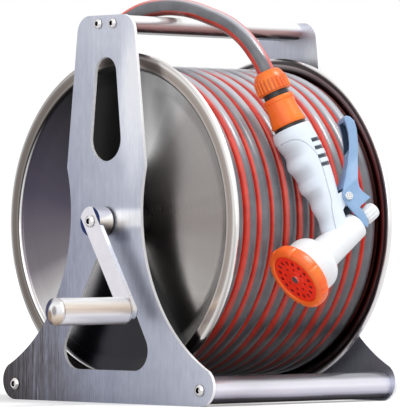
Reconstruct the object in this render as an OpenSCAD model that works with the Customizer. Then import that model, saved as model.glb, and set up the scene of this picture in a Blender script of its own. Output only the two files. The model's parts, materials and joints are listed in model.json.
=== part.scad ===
// Hose reel with two sheet-steel side frames, a wound garden hose and a spray gun.
// X runs along the axle and the crank is on the -X side, -Y is the front, Z is up.
// The origin is the middle of the base, on the floor. Sizes are in millimetres.

/* [Side frames] */
// Width over the outer faces of the two side plates
frame_w = 226; // [218:1:250]
// Clear height between the wound hose and the carry bar
bar_gap = 28.05; // [22:0.05:50]
// Thickness of the side plates
plate_t = 3; // [2:0.5:5]
// Distance between the centres of the two foot lobes
foot_span = 244; // [220:1:280]
// Radius of the foot lobes
foot_r = 17; // [15:1:24]
// Half width of the plate at its waist
waist_half = 46; // [40:1:49]
// Height of the waist
waist_z = 168; // [160:1:180]
// Height of the shoulder above the waist
shoulder_z = 208; // [195:1:225]
// Half width of the plate at its top edge
top_half = 36; // [32:1:42]
// Radius of the top corners
top_r = 16; // [8:1:20]
// Height of the axle above the floor
axle_z = 160; // [158:1:164]
// Height of the slot's upper round end
slot_top_z = 291; // [280:1:300]
// Radius of the slot's upper round end
slot_top_r = 14; // [10:1:18]
// Height of the slot's lower round end
slot_low_z = 233; // [225:1:245]
// Radius of the slot's lower round end
slot_low_r = 20; // [16:1:24]
// Height of the lower edge of the triangular window
window_low_z = 29; // [26:1:40]
// Height of the sharp tip that the window's rounded tip is cut from
window_tip_z = 149; // [130:1:150]
// Half width of the window's sharp triangle
window_half = 68.5; // [50:0.5:70]
// Radius of the window's lower corners
window_low_r = 18; // [8:1:20]
// Radius of the window's tip
window_tip_r = 9; // [5:1:12]

/* [Bars] */
// Width of the flat-oval carry bar
carry_w = 38; // [34:1:46]
// Height of the carry bar
carry_h = 15; // [13:1:17]
// Wall of the carry bar
carry_wall = 2; // [1.5:0.5:3]
// Distance between the two screws in each end of the carry bar
carry_screw_gap = 19; // [16:1:22]
// Outer diameter of the front and rear cross bars
cross_d = 24; // [20:1:26]
// Wall of the cross bars
cross_wall = 2; // [1.5:0.5:3]
// Height of the cross bars' axis
cross_z = 14; // [14:0.5:18]

/* [Drum] */
// Outer diameter of the two drum flanges
flange_d = 300; // [290:1:304]
// Sheet thickness of the flanges
flange_t = 1.2; // [0.8:0.1:2]
// Radial width of the rolled rim
rim_w = 12; // [9:1:14]
// Thickness of the rolled rim along the axle
rim_t = 6; // [4:0.5:8]
// How far the rim stands out from the sheet
rim_rise = 6.4; // [5:0.2:7]
// Outer diameter of the drum core
core_d = 120; // [100:1:140]
// Wall of the drum core
core_wall = 1.5; // [1:0.5:3]
// Diameter of the crank shaft in its bush
shaft_d = 16; // [14:1:18]
// Diameter of the hollow water shaft in its bush
water_shaft_d = 22; // [20:1:24]
// Diameter of the waterway through the water shaft
waterway_d = 10; // [8:1:12]
// Radial clearance of every running fit
run_gap = 0.05; // [0.02:0.01:0.09]

/* [Hose] */
// Outer diameter of the hose
hose_d = 15.5; // [15.2:0.1:15.6]
// Clear distance between neighbouring turns
turn_gap = 0.6; // [0.5:0.05:0.8]
// Radius of the drum at the middle of the outermost turns
wind_r = 131.2; // [129:0.1:131.3]
// Number of turns side by side on the drum
lanes = 11; // [11:1:11]

/* [Crank] */
// Diameter of the crank hub
hub_d = 26; // [24:1:32]
// Distance that the hub stands out from the side plate
hub_out = 14; // [12:1:20]
// Width of the crank arm
arm_w = 18; // [16:1:20]
// Thickness of the crank arm
arm_t = 4; // [3:0.5:5]
// Distance from the axle to the grip's axis
arm_l = 91.6; // [80:0.1:110]
// Turn of the arm from straight down towards the front, in degrees
arm_turn = 31.6; // [0:0.1:60]
// Diameter of the grip
grip_d = 24; // [22:1:28]
// Length of the grip without its cap
grip_l = 80; // [70:0.5:110]
// Height of the grip's domed cap
grip_dome = 3.5; // [2:0.5:4]
// Diameter of the spindle that the grip turns on
spindle_d = 8; // [6:1:10]

/* [Coupling] */
// Diameter of the nut at its wide end
nut_d = 30; // [29:1:33]
// Diameter of the sliding sleeve at its lower end
sleeve_d = 31.6; // [30:0.2:33]
// Length of the sliding sleeve
sleeve_l = 26.5; // [25:0.5:28]
// Diameter of the plug nipple that the sleeve locks
nipple_d = 16; // [15:0.5:17]

/* [Spray gun] */
// Diameter of the dial
dial_d = 61; // [56:1:62]
// Length of the dial along the barrel
dial_l = 12; // [11:0.5:16]
// Diameter of the barrel behind the handle
barrel_d = 24; // [22:1:26]
// Diameter of the bell at its mouth
bell_d = 50; // [46:1:54]
// Length of the barrel from its rear face to the bell's mouth
barrel_l = 70; // [66:1:74]
// Width of the lever
lever_w = 20; // [19:1:24]
// Wall of the lever
lever_wall = 2.2; // [1.6:0.2:2.6]
// Diameter of the flow knob
knob_d = 15; // [13:1:17]
// Length of the flow knob
knob_l = 15; // [13:1:20]

/* [Hidden] */
$fn = 96;

// Places along the axle
side_x = frame_w / 2;
plate_in_x = side_x - plate_t;
// The side plates reach from the floor to the top of the carry bar
plate_h = axle_z + wind_r + hose_d / 2 + bar_gap + carry_h;
lane_pitch = hose_d + turn_gap;
drum_half = (lanes * lane_pitch + turn_gap) / 2;
flange_out = drum_half + flange_t;
rim_x = flange_out + rim_rise;

// Side plate outline
foot_y = foot_span / 2;
flank_dy = waist_half - foot_y;
flank_dz = waist_z - foot_r;
// The flank's arc cuts a shallow crease into the foot lobe, this much short of touching it
lobe_r = foot_r - 0.3;
flank_r = (flank_dy * flank_dy + flank_dz * flank_dz - lobe_r * lobe_r) / (2 * (lobe_r - flank_dy));
flank_c = [waist_half + flank_r, waist_z];
foot_c = [foot_y, foot_r];
flank_foot = foot_c + lobe_r * (flank_c - foot_c) / norm(flank_c - foot_c);
shoulder = [flank_c[0] - sqrt(flank_r * flank_r - pow(shoulder_z - waist_z, 2)), shoulder_z];

// Screws
m5_r = 2.5;
m6_r = 3;
hole_gap = 0.2;
// A round corner's arc stands this much past its straight sides, so that they cross cleanly
arc_over = 0.02;
thread_gap = 0.05;
head_m5_r = 4.6;
head_m6_r = 5.6;
head_rise = 2.6;
screw_l = 16;
carry_z = plate_h - carry_h / 2;

// Bushes and stubs
shaft_r = shaft_d / 2;
water_r = water_shaft_d / 2;
bush_wall = 4;
water_lip = 4;
crank_lip = 1;
bush_lip_t = 2;
side_play = 0.3;
shoulder_wall = 4;
stub_disc_r = 32;
stub_disc_t = 6;
stub_screw_r = 23;
core_r = core_d / 2;
hub_x = side_x + hub_out;
arm_out_x = hub_x + arm_t;
grip_at = [0, -arm_l * sin(arm_turn), axle_z - arm_l * cos(arm_turn)];
washer_t = 2;
grip_x = arm_out_x + washer_t + side_play;
grip_end_x = grip_x + grip_l;
spindle_head_t = 4;
spindle_head_r = 7;
cap_plug_l = 3;

// Inlet outside the plate
inlet_neck_r = 9;
elbow_r = 15;
elbow_x = side_x + bush_lip_t + 2 * side_play;
elbow_l = 32;
neck_l = 16.5;
seal_at = [4, 8];
seal_groove = [2.2, 1.5];
clip_at = 12.5;
clip_groove = 1.6;
outlet_at = 22;
nipple_r = nipple_d / 2;
nipple_at = 22;

// Inside the core, where the water turns from the axle into the hose's tail
turn_x = drum_half - 60;
turn_r = waterway_d / 2;
turn_wall = 2.5;
barb_l = core_r - 22;
barb_rings = [barb_l - 14, barb_l - 9, barb_l - 4];
tail_z = axle_z + core_r - 38;

// Hose on the drum, with angles from +Y through +Z
hose_r = hose_d / 2;
wind_step = 15;
shift_from = 265;
shift_span = 90;
layer_drop = hose_d + 0.5;
low_r = wind_r - layer_drop;
bed_r = wind_r * cos(wind_step / 2) - hose_r - side_play;
low_bed_r = low_r * cos(wind_step / 2) - hose_r - side_play;
lane0_x = -drum_half + turn_gap + hose_r;
free_from = 105;
free_climb_from = 410;
free_climb_to = 455;
free_leave = 750;

// Spray gun: its own X is the barrel's axis towards the dial and its own Z is up
gun_at = [3.5, -175.5, 144];
gun_turn = [19, 35.5, 173];
handle_lean = 18.2;
handle_l = 106;
coupling_l = 54.7;
nut_l = 20;
collar_seat_r = 11.4;
body_r = 10.5;
socket_l = 14;
sleeve_at = 3.2;
slide_gap = 0.03;
// The handle's sections: height, reach to the front, reach to the rear, half depth
handle_rows = [[2, 13, 13, 9.5], [12, 13, 13.2, 9.8], [16, 12.2, 13.3, 10.1], [22, 10.8, 13.6, 10.8],
    [28, 11.1, 14.1, 11.6], [33, 11.7, 14.7, 12.3], [39, 10.5, 15.6, 13.1], [44.5, 11.1, 16.5, 13.8],
    [50, 14.4, 17.5, 14.5], [54.3, 14.8, 18.1, 14.9], [59, 13.2, 18.7, 15.3], [63.5, 13.7, 19.2, 15.6],
    [67.5, 14.9, 19.6, 15.8], [72, 17.2, 20, 16.1], [77, 16.6, 20, 16.3], [81, 14.9, 19.9, 16.5],
    [85.6, 14.7, 19.6, 16.7], [90, 16.2, 19.1, 16.9], [94, 17.7, 18.5, 17], [99, 18.6, 17.6, 17.2],
    [handle_l, 17.4, 16.8, 16.8]];
barrel_r = barrel_d / 2;
barrel_x = -22;
bell_x = barrel_x + barrel_l;
bell_r = bell_d / 2;
neck_x = 25;
neck_r = barrel_r + 3;
shoulder_l = 13;
dial_r = dial_d / 2;
dial_x = bell_x + 0.4;
dial_end_x = dial_x + dial_l;
face_r = 23.6;
face_t = 2.5;
dial_stem_r = 5;
pivot = [-29, 24];
pin_r = 2.5;
pin_head_r = 3.5;
cheek_in = lever_w / 2 - lever_wall;
valve_r = 3;
collar_r = 7;
collar_l = 5;
knob_x = -31.5;
knob_ribs = 14;
// The lever seen from its side: the outline, the fork's gap and the spoon, in the gun's X and Z
lever_outline = [[-24.5, -7.5], [-22.8, -4], [-22.8, 21], [-24, 25], [-28, 30.5], [-33.5, 34],
    [-41, 38], [-52, 45], [-60, 52], [-66, 58], [-72, 66], [-75.5, 72.5], [-77.5, 77.5],
    [-80, 78.5], [-83, 75.5], [-83.8, 70], [-80.5, 63], [-74.5, 54.5], [-69.5, 48.5], [-63, 42.5],
    [-55.5, 36.5], [-47.5, 30], [-43.5, 24], [-43, 19], [-45.5, 10.5], [-31, 10.5], [-30.4, 2],
    [-28, -4]];
lever_fork = [[-10, -20], [-10, 33.5], [-27, 33.5], [-36, 31], [-38.5, 24], [-39.5, 16],
    [-44, 12], [-55, 9], [-55, -20]];
lever_spoon = [[-58, 51.5], [-69.5, 53.5], [-72.7, 56], [-78.6, 64.3], [-81.3, 70.5],
    [-80.3, 74], [-70, 77], [-50, 70]];
// The lever seen from behind: half width and height, waisted above the fork
lever_rows = [[lever_w / 2, -20], [lever_w / 2, 31], [8, 35.5], [5.2, 42], [4.8, 48], [6.4, 58],
    [7.3, 67], [7.3, 90]];
spoon_half = 5.4;

// The free hose's route after it leaves the drum, over the carry bar and down to the coupling
free_route = [[-79.5, 99.5, 251], [-76.5, 85, 276.5], [-71.5, 70, 300.5], [-65, 54, 321],
    [-58.5, 37, 338.5], [-51.5, 19, 348.4], [-45.5, 0, 351.4], [-43, -19, 350.7],
    [-41, -39, 347], [-39.5, -59, 340.6], [-39.2, -71, 336.6], [-39.2, -85.8, 329.8],
    [-38.4, -101, 319.2], [-36.1, -114.3, 303.9]];

function unit(v) = v / norm(v);

// One rounded corner: its two tangent points and its centre
function corner(a, b, c, r) =
    let (u = unit(a - b), w = unit(c - b), half = acos(u * w) / 2)
    [b + u * r / tan(half), b + w * r / tan(half), b + unit(u + w) * r / sin(half)];

// A convex polygon with round corners, where a radius of 0 keeps the corner sharp
module rounded_polygon(pts, radii) {
    n = len(pts);
    corners = [for (i = [0:n - 1]) corner(pts[(i + n - 1) % n], pts[i], pts[(i + 1) % n], radii[i])];
    polygon([for (i = [0:n - 1]) each radii[i] > 0 ? [corners[i][0], corners[i][1]] : [pts[i]]]);
    for (i = [0:n - 1]) if (radii[i] > 0) translate(corners[i][2]) circle(radii[i] + arc_over);
}

// A flat shape drawn in Y and Z, made thick along X from x to x + t
module sheet_on_x(x, t) {
    translate([x, 0, 0]) rotate([90, 0, 90]) linear_extrude(t) children();
}

// A round bar along X from x0 to x1, centred at [y, z]
module rod_x(x0, x1, r, at = [0, axle_z]) {
    translate([min(x0, x1), at[0], at[1]]) rotate([0, 90, 0]) cylinder(h = abs(x1 - x0), r = r);
}

// A shape turned about the axle: its Y is the distance from the middle towards +X
module turned_on_axle() {
    translate([0, 0, axle_z]) rotate([0, 90, 0]) rotate_extrude($fn = 180) children();
}

// Copies for the two ends of the axle: child 0 as drawn on +X, mirrored for the crank end
module at_end(side) {
    if (side < 0) mirror([1, 0, 0]) children();
    else children();
}

// A button-head screw with a hex socket, its head's seat at the origin, its shank along -Z
module button_screw(r, head, shank) {
    difference() {
        union() {
            translate([0, 0, -shank]) cylinder(h = shank, r = r);
            rotate_extrude() polygon([[0, 0], [head, 0], [head, 0.7], [head * 0.86, 1.8],
                [head * 0.6, head_rise], [0, head_rise]]);
        }
        translate([0, 0, 1]) cylinder(h = 3, r = head * 0.5, $fn = 6);
    }
}

// The taper slot's outline: two circles joined by their outer tangents
module taper_slot() {
    rise = asin((slot_low_r - slot_top_r) / (slot_top_z - slot_low_z));
    right = [[slot_low_r * cos(rise), slot_low_z + slot_low_r * sin(rise)],
        [slot_top_r * cos(rise), slot_top_z + slot_top_r * sin(rise)]];
    polygon([right[0], right[1], [-right[1][0], right[1][1]], [-right[0][0], right[0][1]]]);
    translate([0, slot_top_z]) circle(slot_top_r + arc_over);
    translate([0, slot_low_z]) circle(slot_low_r + arc_over);
}

module plate_outline(bush_r) {
    difference() {
        union() {
            polygon([[-foot_y, 0], [foot_y, 0], flank_foot, flank_c, shoulder,
                [-shoulder[0], shoulder[1]], [-flank_c[0], flank_c[1]],
                [-flank_foot[0], flank_foot[1]]]);
            rounded_polygon([[-shoulder[0], shoulder_z], [shoulder[0], shoulder_z],
                [top_half, plate_h], [-top_half, plate_h]], [0, 0, top_r, top_r]);
            for (s = [-1, 1]) translate([s * foot_y, foot_r]) circle(foot_r);
        }
        for (s = [-1, 1]) translate([s * flank_c[0], flank_c[1]]) circle(flank_r, $fn = 240);
        taper_slot();
        rounded_polygon([[-window_half, window_low_z], [window_half, window_low_z],
            [0, window_tip_z]], [window_low_r, window_low_r, window_tip_r]);
        translate([0, axle_z]) circle(bush_r);
        for (s = [-1, 1]) {
            translate([s * foot_y, cross_z]) circle(m6_r + hole_gap);
            translate([s * carry_screw_gap / 2, carry_z]) circle(m5_r + hole_gap);
        }
    }
}

module crank_side_plate() {
    color("lightsteelblue") sheet_on_x(-side_x, plate_t) plate_outline(shaft_r + bush_wall);
}

module inlet_side_plate() {
    color("lightsteelblue") sheet_on_x(plate_in_x, plate_t) plate_outline(water_r + bush_wall);
}

// A flat oval: w wide, h high, with half-round edges
module flat_oval(w, h) {
    square([w - h, h], center = true);
    for (s = [-1, 1]) translate([s * (w - h) / 2, 0]) circle(h / 2);
}

module carry_bar() {
    core_h = carry_h - 2 * carry_wall;
    color("whitesmoke") sheet_on_x(-plate_in_x, 2 * plate_in_x) translate([0, carry_z])
        difference() {
            union() {
                difference() {
                    flat_oval(carry_w, carry_h);
                    flat_oval(carry_w - 2 * carry_wall, core_h);
                }
                for (s = [-1, 1]) translate([s * carry_screw_gap / 2, 0])
                    square([2 * m5_r + 3, core_h + carry_wall], center = true);
            }
            for (s = [-1, 1]) translate([s * carry_screw_gap / 2, 0]) circle(m5_r + thread_gap);
        }
}

module carry_bar_screws() {
    color("silver") for (side = [-1, 1]) at_end(side) for (s = [-1, 1])
        translate([side_x, s * carry_screw_gap / 2, carry_z]) rotate([0, 90, 0])
            button_screw(m5_r, head_m5_r, screw_l);
}

module cross_bar(y) {
    color("silver") difference() {
        rod_x(-plate_in_x, plate_in_x, cross_d / 2, [y, cross_z]);
        rod_x(-side_x, side_x, cross_d / 2 - cross_wall, [y, cross_z]);
    }
}

module front_cross_bar() {
    cross_bar(-foot_y);
}

module rear_cross_bar() {
    cross_bar(foot_y);
}

module cross_bar_plugs() {
    color("dimgray") for (side = [-1, 1]) at_end(side) for (s = [-1, 1]) difference() {
        rod_x(plate_in_x - screw_l - 2, plate_in_x, cross_d / 2 - cross_wall - thread_gap,
            [s * foot_y, cross_z]);
        rod_x(plate_in_x - screw_l - 3, plate_in_x + 1, m6_r + thread_gap, [s * foot_y, cross_z]);
    }
}

module cross_bar_screws() {
    color("silver") for (side = [-1, 1]) at_end(side) for (s = [-1, 1])
        translate([side_x, s * foot_y, cross_z]) rotate([0, 90, 0])
            button_screw(m6_r, head_m6_r, screw_l);
}

// A plain bush in a side plate with a lip on both faces, pressed in two halves as one piece
module bush(r, lip) {
    color("dimgray") turned_on_axle() {
        translate([r + run_gap, plate_in_x - bush_lip_t])
            square([bush_wall - run_gap - thread_gap, plate_t + 2 * bush_lip_t]);
        for (x = [plate_in_x - bush_lip_t, side_x])
            translate([r + run_gap, x]) square([bush_wall + lip - run_gap, bush_lip_t]);
    }
}

module crank_bush() {
    at_end(-1) bush(shaft_r, crank_lip);
}

module inlet_bush() {
    bush(water_r, water_lip);
}

// One dished drum flange on the +X side, with its rolled rim standing outwards
module flange(hole_r) {
    rim_low = flange_d / 2 - rim_w;
    edge_r = rim_t / 2;
    rim_mid = rim_x - edge_r;
    color("gainsboro") turned_on_axle() {
        difference() {
            union() {
                translate([hole_r, drum_half]) square([rim_low - 10 - hole_r, flange_t]);
                polygon([[rim_low - 10.5, drum_half], [rim_low - 9, drum_half],
                    [rim_low + 2, rim_mid - 0.8], [rim_low + 2, rim_mid + 0.8],
                    [rim_low - 10.5, flange_out]]);
                translate([rim_low + edge_r, rim_mid]) circle(edge_r);
                translate([rim_low + edge_r, rim_mid - edge_r]) square([rim_w - rim_t, rim_t]);
                translate([flange_d / 2 - edge_r, rim_mid]) circle(edge_r);
            }
            translate([hole_r - 1, rim_x]) square([flange_d, 1]);
        }
    }
}

// The four screw holes of a flange, on both sides of its centre hole
module flange_holes(r) {
    for (a = [45:90:315]) rod_x(drum_half - stub_disc_t - 4, rim_x, r,
        [stub_screw_r * cos(a), axle_z + stub_screw_r * sin(a)]);
}

module crank_flange() {
    at_end(-1) difference() {
        flange(shaft_r + shoulder_wall + thread_gap);
        flange_holes(m5_r + hole_gap);
    }
}

module inlet_flange() {
    difference() {
        flange(water_r + shoulder_wall + thread_gap);
        flange_holes(m5_r + hole_gap);
    }
}

module drum_core() {
    color("silver") difference() {
        turned_on_axle() translate([core_r - core_wall, -drum_half])
            square([core_wall, 2 * drum_half]);
        translate([turn_x, 0, axle_z]) cylinder(h = core_d, r = hose_r + 1);
    }
}

module flange_screws() {
    color("silver") for (side = [-1, 1]) at_end(side) for (a = [45:90:315])
        translate([flange_out, stub_screw_r * cos(a), axle_z + stub_screw_r * sin(a)])
            rotate([0, 90, 0]) button_screw(m5_r - thread_gap, head_m5_r, stub_disc_t + flange_t - 1);
}

// A stub shaft on the +X side: a disc inside the flange, a shoulder and the bearing length
module stub(r, end_x) {
    union() {
        rod_x(drum_half - stub_disc_t, drum_half, stub_disc_r);
        rod_x(drum_half - 1, plate_in_x - bush_lip_t - side_play, r + shoulder_wall);
        rod_x(drum_half, end_x, r);
    }
}

module crank_stub() {
    color("silver") at_end(-1) difference() {
        stub(shaft_r, hub_x - side_play);
        flange_holes(m5_r);
        rod_x(arm_out_x - screw_l - 4, hub_x, m6_r + thread_gap);
    }
}

module water_stub() {
    color("goldenrod") difference() {
        union() {
            stub(water_r, elbow_x - side_play);
            rod_x(side_x, elbow_x + neck_l, inlet_neck_r);
        }
        flange_holes(m5_r);
        rod_x(0, elbow_x + elbow_l, waterway_d / 2);
        for (at = seal_at) turned_on_axle() translate([inlet_neck_r - seal_groove[1], elbow_x + at])
            square([seal_groove[1] + 1, seal_groove[0]]);
        turned_on_axle() translate([inlet_neck_r - clip_groove, elbow_x + clip_at])
            square([clip_groove + 1, clip_groove]);
    }
}

// A hose barb that turns the water from the shaft into the hose
module barb_elbow() {
    elbow_in = drum_half - stub_disc_t;
    color("goldenrod") difference() {
        union() {
            rod_x(turn_x, elbow_in, turn_r + turn_wall);
            translate([turn_x, 0, axle_z]) sphere(turn_r + turn_wall);
            translate([turn_x, 0, axle_z]) cylinder(h = barb_l, r = turn_r + 1);
            for (z = barb_rings) translate([turn_x, 0, axle_z + z])
                cylinder(h = 1.5, r = turn_r + 1.4);
        }
        rod_x(turn_x, elbow_in + 1, turn_r);
        translate([turn_x, 0, axle_z]) cylinder(h = barb_l + 2, r = turn_r);
        translate([turn_x, 0, axle_z]) sphere(turn_r);
    }
}

module hose_tail() {
    color("gray") translate([turn_x, 0, 0]) difference() {
        translate([0, 0, tail_z]) cylinder(h = axle_z + core_r - core_wall / 2 - tail_z, r = hose_r);
        translate([0, 0, tail_z - 2]) cylinder(h = core_r, r = turn_r + 1.5);
    }
}

// The plain core of inner layers under the outer turns, one layer lower beside the crank flange
module hose_inner_layers() {
    step_x = -drum_half + lane_pitch + turn_gap / 2;
    side = 0.3;
    color("gray") turned_on_axle() polygon([[core_r + side, -drum_half + side],
        [low_bed_r, -drum_half + side], [low_bed_r, step_x], [bed_r, step_x],
        [bed_r, drum_half - side], [core_r + side, drum_half - side]]);
}

// A point on the drum: distance along the axle, radius and angle
function on_drum(x, r, a) = [x, r * cos(a), axle_z + r * sin(a)];

// How far a turn has shifted to its next lane, 0 to 1, at angle a past the shift's start
function shifted(a) = let (t = min(1, max(0, a / shift_span))) t * t * (3 - 2 * t);

// The outer layer: every turn keeps its lane and shifts one pitch behind the drum
wind_turns = lanes - 1;
wind_total = 360 * wind_turns - shift_span;
wind_steps = round(wind_total / wind_step);
wind_route = [for (i = [0:wind_steps])
    let (a = shift_from + shift_span - 360 + wind_total * i / wind_steps,
        turn = floor((a - shift_from + 360) / 360),
        lane = wind_turns + 1 - turn - shifted(a - shift_from + 360 - 360 * turn))
    on_drum(lane0_x + lane_pitch * lane, wind_r, a)];

// The free end: two turns deep beside the crank flange, then up and over the carry bar
free_steps = round((free_leave - free_from) / wind_step);
free_turns = [for (i = [0:free_steps])
    let (a = free_from + (free_leave - free_from) * i / free_steps,
        t = min(1, max(0, (a - free_climb_from) / (free_climb_to - free_climb_from))),
        rise = t * t * (3 - 2 * t))
    on_drum(lane0_x, low_r + (wind_r - low_r) * rise, a)];
coupling_in = gun_point([0, 0, handle_l + coupling_l]);
coupling_deep = gun_point([0, 0, handle_l + coupling_l - socket_l]);
hose_route = concat(free_turns, free_route, [coupling_in, coupling_deep]);

// A place in the gun's handle frame, carried to the part's own frame
function turned_x(v, a) = [v[0], v[1] * cos(a) - v[2] * sin(a), v[1] * sin(a) + v[2] * cos(a)];
function turned_y(v, a) = [v[0] * cos(a) + v[2] * sin(a), v[1], -v[0] * sin(a) + v[2] * cos(a)];
function turned_z(v, a) = [v[0] * cos(a) - v[1] * sin(a), v[0] * sin(a) + v[1] * cos(a), v[2]];
function gun_point(v) = gun_at + turned_z(turned_y(turned_x(turned_y(v, -handle_lean),
    gun_turn[0]), gun_turn[1]), gun_turn[2]);

// The direction of a route at point i
function heading(route, i) = unit(route[min(i + 1, len(route) - 1)] - route[max(i - 1, 0)]);

// One ring of points around a route's point
function ring(route, i, r, sides) =
    let (t = heading(route, i), u = unit([1, 0, 0] - t[0] * t), w = cross(t, u))
    [for (k = [0:sides - 1]) route[i] + r * (cos(360 * k / sides) * u + sin(360 * k / sides) * w)];

// A closed tube swept along a route, with triangles all round and a fan on each end
module tube_along(route, r, sides) {
    rings = len(route);
    points = [for (i = [0:rings - 1]) each ring(route, i, r, sides)];
    walls = [for (i = [0:rings - 2], k = [0:sides - 1])
        let (a = i * sides + k, b = i * sides + (k + 1) % sides, c = a + sides, d = b + sides)
        each [[a, c, b], [b, c, d]]];
    last = (rings - 1) * sides;
    ends = [for (k = [1:sides - 2]) each [[0, k, k + 1], [last, last + k + 1, last + k]]];
    polyhedron(points = points, faces = concat(walls, ends), convexity = 10);
}

// The least clear distance between turns at least half a turn apart on a route
function least_gap(route, d, apart) = min([for (i = [0:len(route) - 1 - apart])
    min([for (j = [i + apart:min(len(route) - 1, i + 2 * apart + 4)]) norm(route[i] - route[j])])]) - d;

function route_length(route) = route_sum([for (i = [1:len(route) - 1]) norm(route[i] - route[i - 1])]);
function route_sum(v, i = 0) = i >= len(v) ? 0 : v[i] + route_sum(v, i + 1);

echo(winding_gap = least_gap(wind_route, hose_d, 12), winding_length = route_length(wind_route));
echo(free_gap = least_gap(free_turns, hose_d, 12), free_length = route_length(hose_route));

module hose_winding() {
    color("gray") tube_along(wind_route, hose_r, 6);
}

module hose_free_end() {
    color("gray") tube_along(hose_route, hose_r, 10);
}

// The crank arm's outline seen along the axle: a bar that ends flush with the hub and has a
// round end at the grip
module arm_outline(grow) {
    half = arm_w / 2 + grow;
    translate([0, axle_z]) rotate(-arm_turn) {
        translate([-half, -arm_l]) square([2 * half, arm_l]);
        translate([0, -arm_l]) circle(half);
        intersection() {
            translate([-half, -1]) square([2 * half, hub_d]);
            circle(hub_d / 2 + 2 * grow);
        }
    }
}

// The crank hub, a round boss over the shaft's end with a seat for the arm in its face
module crank_hub() {
    color("silver") at_end(-1) difference() {
        rod_x(side_x + bush_lip_t + side_play, arm_out_x, hub_d / 2);
        rod_x(side_x, hub_x + 1, shaft_r + thread_gap);
        sheet_on_x(hub_x, arm_t + 1) arm_outline(thread_gap);
    }
}

// The crank arm, a flat bar let into the hub's end face
module crank_arm() {
    color("silver") at_end(-1) difference() {
        sheet_on_x(hub_x, arm_t) arm_outline(0);
        rod_x(side_x, arm_out_x + 1, m6_r + hole_gap);
        on_grip_side(side_x, arm_out_x + 1, spindle_d / 2 + thread_gap);
    }
}

module crank_screw() {
    color("silver") translate([-arm_out_x, 0, axle_z]) rotate([0, -90, 0])
        button_screw(m6_r, head_m6_r, screw_l + 2);
}

// Everything round on the grip's axis, measured outwards: on the +X side, then on the crank's
module on_grip_side(x0, x1, r) {
    rod_x(x0, x1, r, [grip_at[1], grip_at[2]]);
}

module on_grip(x0, x1, r) {
    at_end(-1) on_grip_side(x0, x1, r);
}

module grip_spindle() {
    color("silver") union() {
        on_grip(hub_x - 3, hub_x, spindle_head_r);
        on_grip(hub_x - 1, grip_end_x - cap_plug_l - 1, spindle_d / 2);
        on_grip(grip_end_x - cap_plug_l - 1 - spindle_head_t, grip_end_x - cap_plug_l - 1,
            spindle_head_r);
    }
}

module grip_washer() {
    color("silver") difference() {
        on_grip(arm_out_x, arm_out_x + washer_t, arm_w / 2);
        on_grip(hub_x, arm_out_x + washer_t + 1, spindle_d / 2 + thread_gap);
    }
}

// A grip profile turned on the grip's axis, its Y outwards from the arm
module turned_grip() {
    translate([0, grip_at[1], grip_at[2]]) rotate([0, -90, 0]) rotate_extrude() children();
}

module crank_grip() {
    edge = 2.5;
    seat = grip_end_x - cap_plug_l - spindle_head_t - 2;
    color("gainsboro") difference() {
        turned_grip() {
            translate([0, grip_x]) square([grip_d / 2 - edge, grip_l]);
            translate([grip_d / 2 - edge - 0.01, grip_x + edge])
                square([edge + 0.01, grip_l - edge]);
            translate([grip_d / 2 - edge, grip_x + edge]) circle(edge);
        }
        on_grip(grip_x - 1, grip_end_x, spindle_d / 2 + run_gap);
        on_grip(seat, grip_end_x + 1, spindle_head_r + 1);
    }
}

module grip_cap() {
    color("gainsboro") turned_grip() {
        translate([0, grip_end_x - cap_plug_l])
            square([spindle_head_r + 1 - thread_gap, cap_plug_l + 0.5]);
        intersection() {
            translate([0, grip_end_x]) square([grip_d / 2, grip_dome]);
            union() {
                translate([0, grip_end_x]) square([grip_d / 2 - grip_dome / 2, grip_dome / 2]);
                translate([0, grip_end_x]) square([grip_d / 2, grip_dome / 2]);
                translate([0, grip_end_x + grip_dome - 40]) circle(40, $fn = 180);
            }
        }
    }
}

// The swivel elbow outside the inlet plate, with its outlet straight down
module inlet_elbow() {
    color("goldenrod") difference() {
        union() {
            rod_x(elbow_x, elbow_x + elbow_l, elbow_r);
            translate([elbow_x + outlet_at, 0, axle_z - nipple_at])
                cylinder(h = nipple_at, r = elbow_l - outlet_at);
        }
        rod_x(elbow_x - 1, elbow_x + elbow_l - 5, inlet_neck_r + run_gap);
        turned_on_axle() translate([inlet_neck_r - 1, elbow_x + clip_at])
            square([clip_groove + 1, clip_groove]);
        translate([elbow_x + outlet_at, 0, axle_z - nipple_at - 1])
            cylinder(h = nipple_at, r = waterway_d / 2 - 0.5);
    }
}

module inlet_seals() {
    wire = 0.7;
    color("black") for (at = seal_at) turned_on_axle()
        translate([inlet_neck_r - wire, elbow_x + at + seal_groove[0] / 2]) circle(wire, $fn = 24);
}

// A split ring that lies half in the elbow's groove and half in the water shaft's
module inlet_clip() {
    slack = 0.1;
    t = clip_groove - 2 * slack;
    x = elbow_x + clip_at + slack;
    color("silver") difference() {
        rod_x(x, x + t, inlet_neck_r + clip_groove - slack);
        rod_x(x - 1, x + t + 1, inlet_neck_r - clip_groove + slack);
        translate([x - 1, -2.5, axle_z - 20]) cube([t + 2, 5, 20]);
    }
}

// A plug nipple for a click coupling, from its root at z = 0 to its tip along +Z
module plug_nipple(tip_l) {
    difference() {
        rotate_extrude() polygon([[0, 0], [nipple_r + 2, 0], [nipple_r + 2, 2.5], [nipple_r, 3.5],
            [nipple_r, 11], [nipple_r - 1.8, 12], [nipple_r - 1.8, 15], [nipple_r - 0.4, 16],
            [nipple_r - 0.4, tip_l - 1], [nipple_r - 1.4, tip_l], [0, tip_l]]);
        translate([0, 0, -1]) cylinder(h = tip_l + 2, r = waterway_d / 2 - 0.5);
    }
}

module inlet_nipple() {
    color("goldenrod") translate([elbow_x + outlet_at, 0, axle_z - nipple_at])
        rotate([180, 0, 0]) plug_nipple(27);
}

// Carries a piece into the gun's place: X along the barrel, Z up
module in_gun() {
    translate(gun_at) rotate(gun_turn) children();
}

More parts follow.
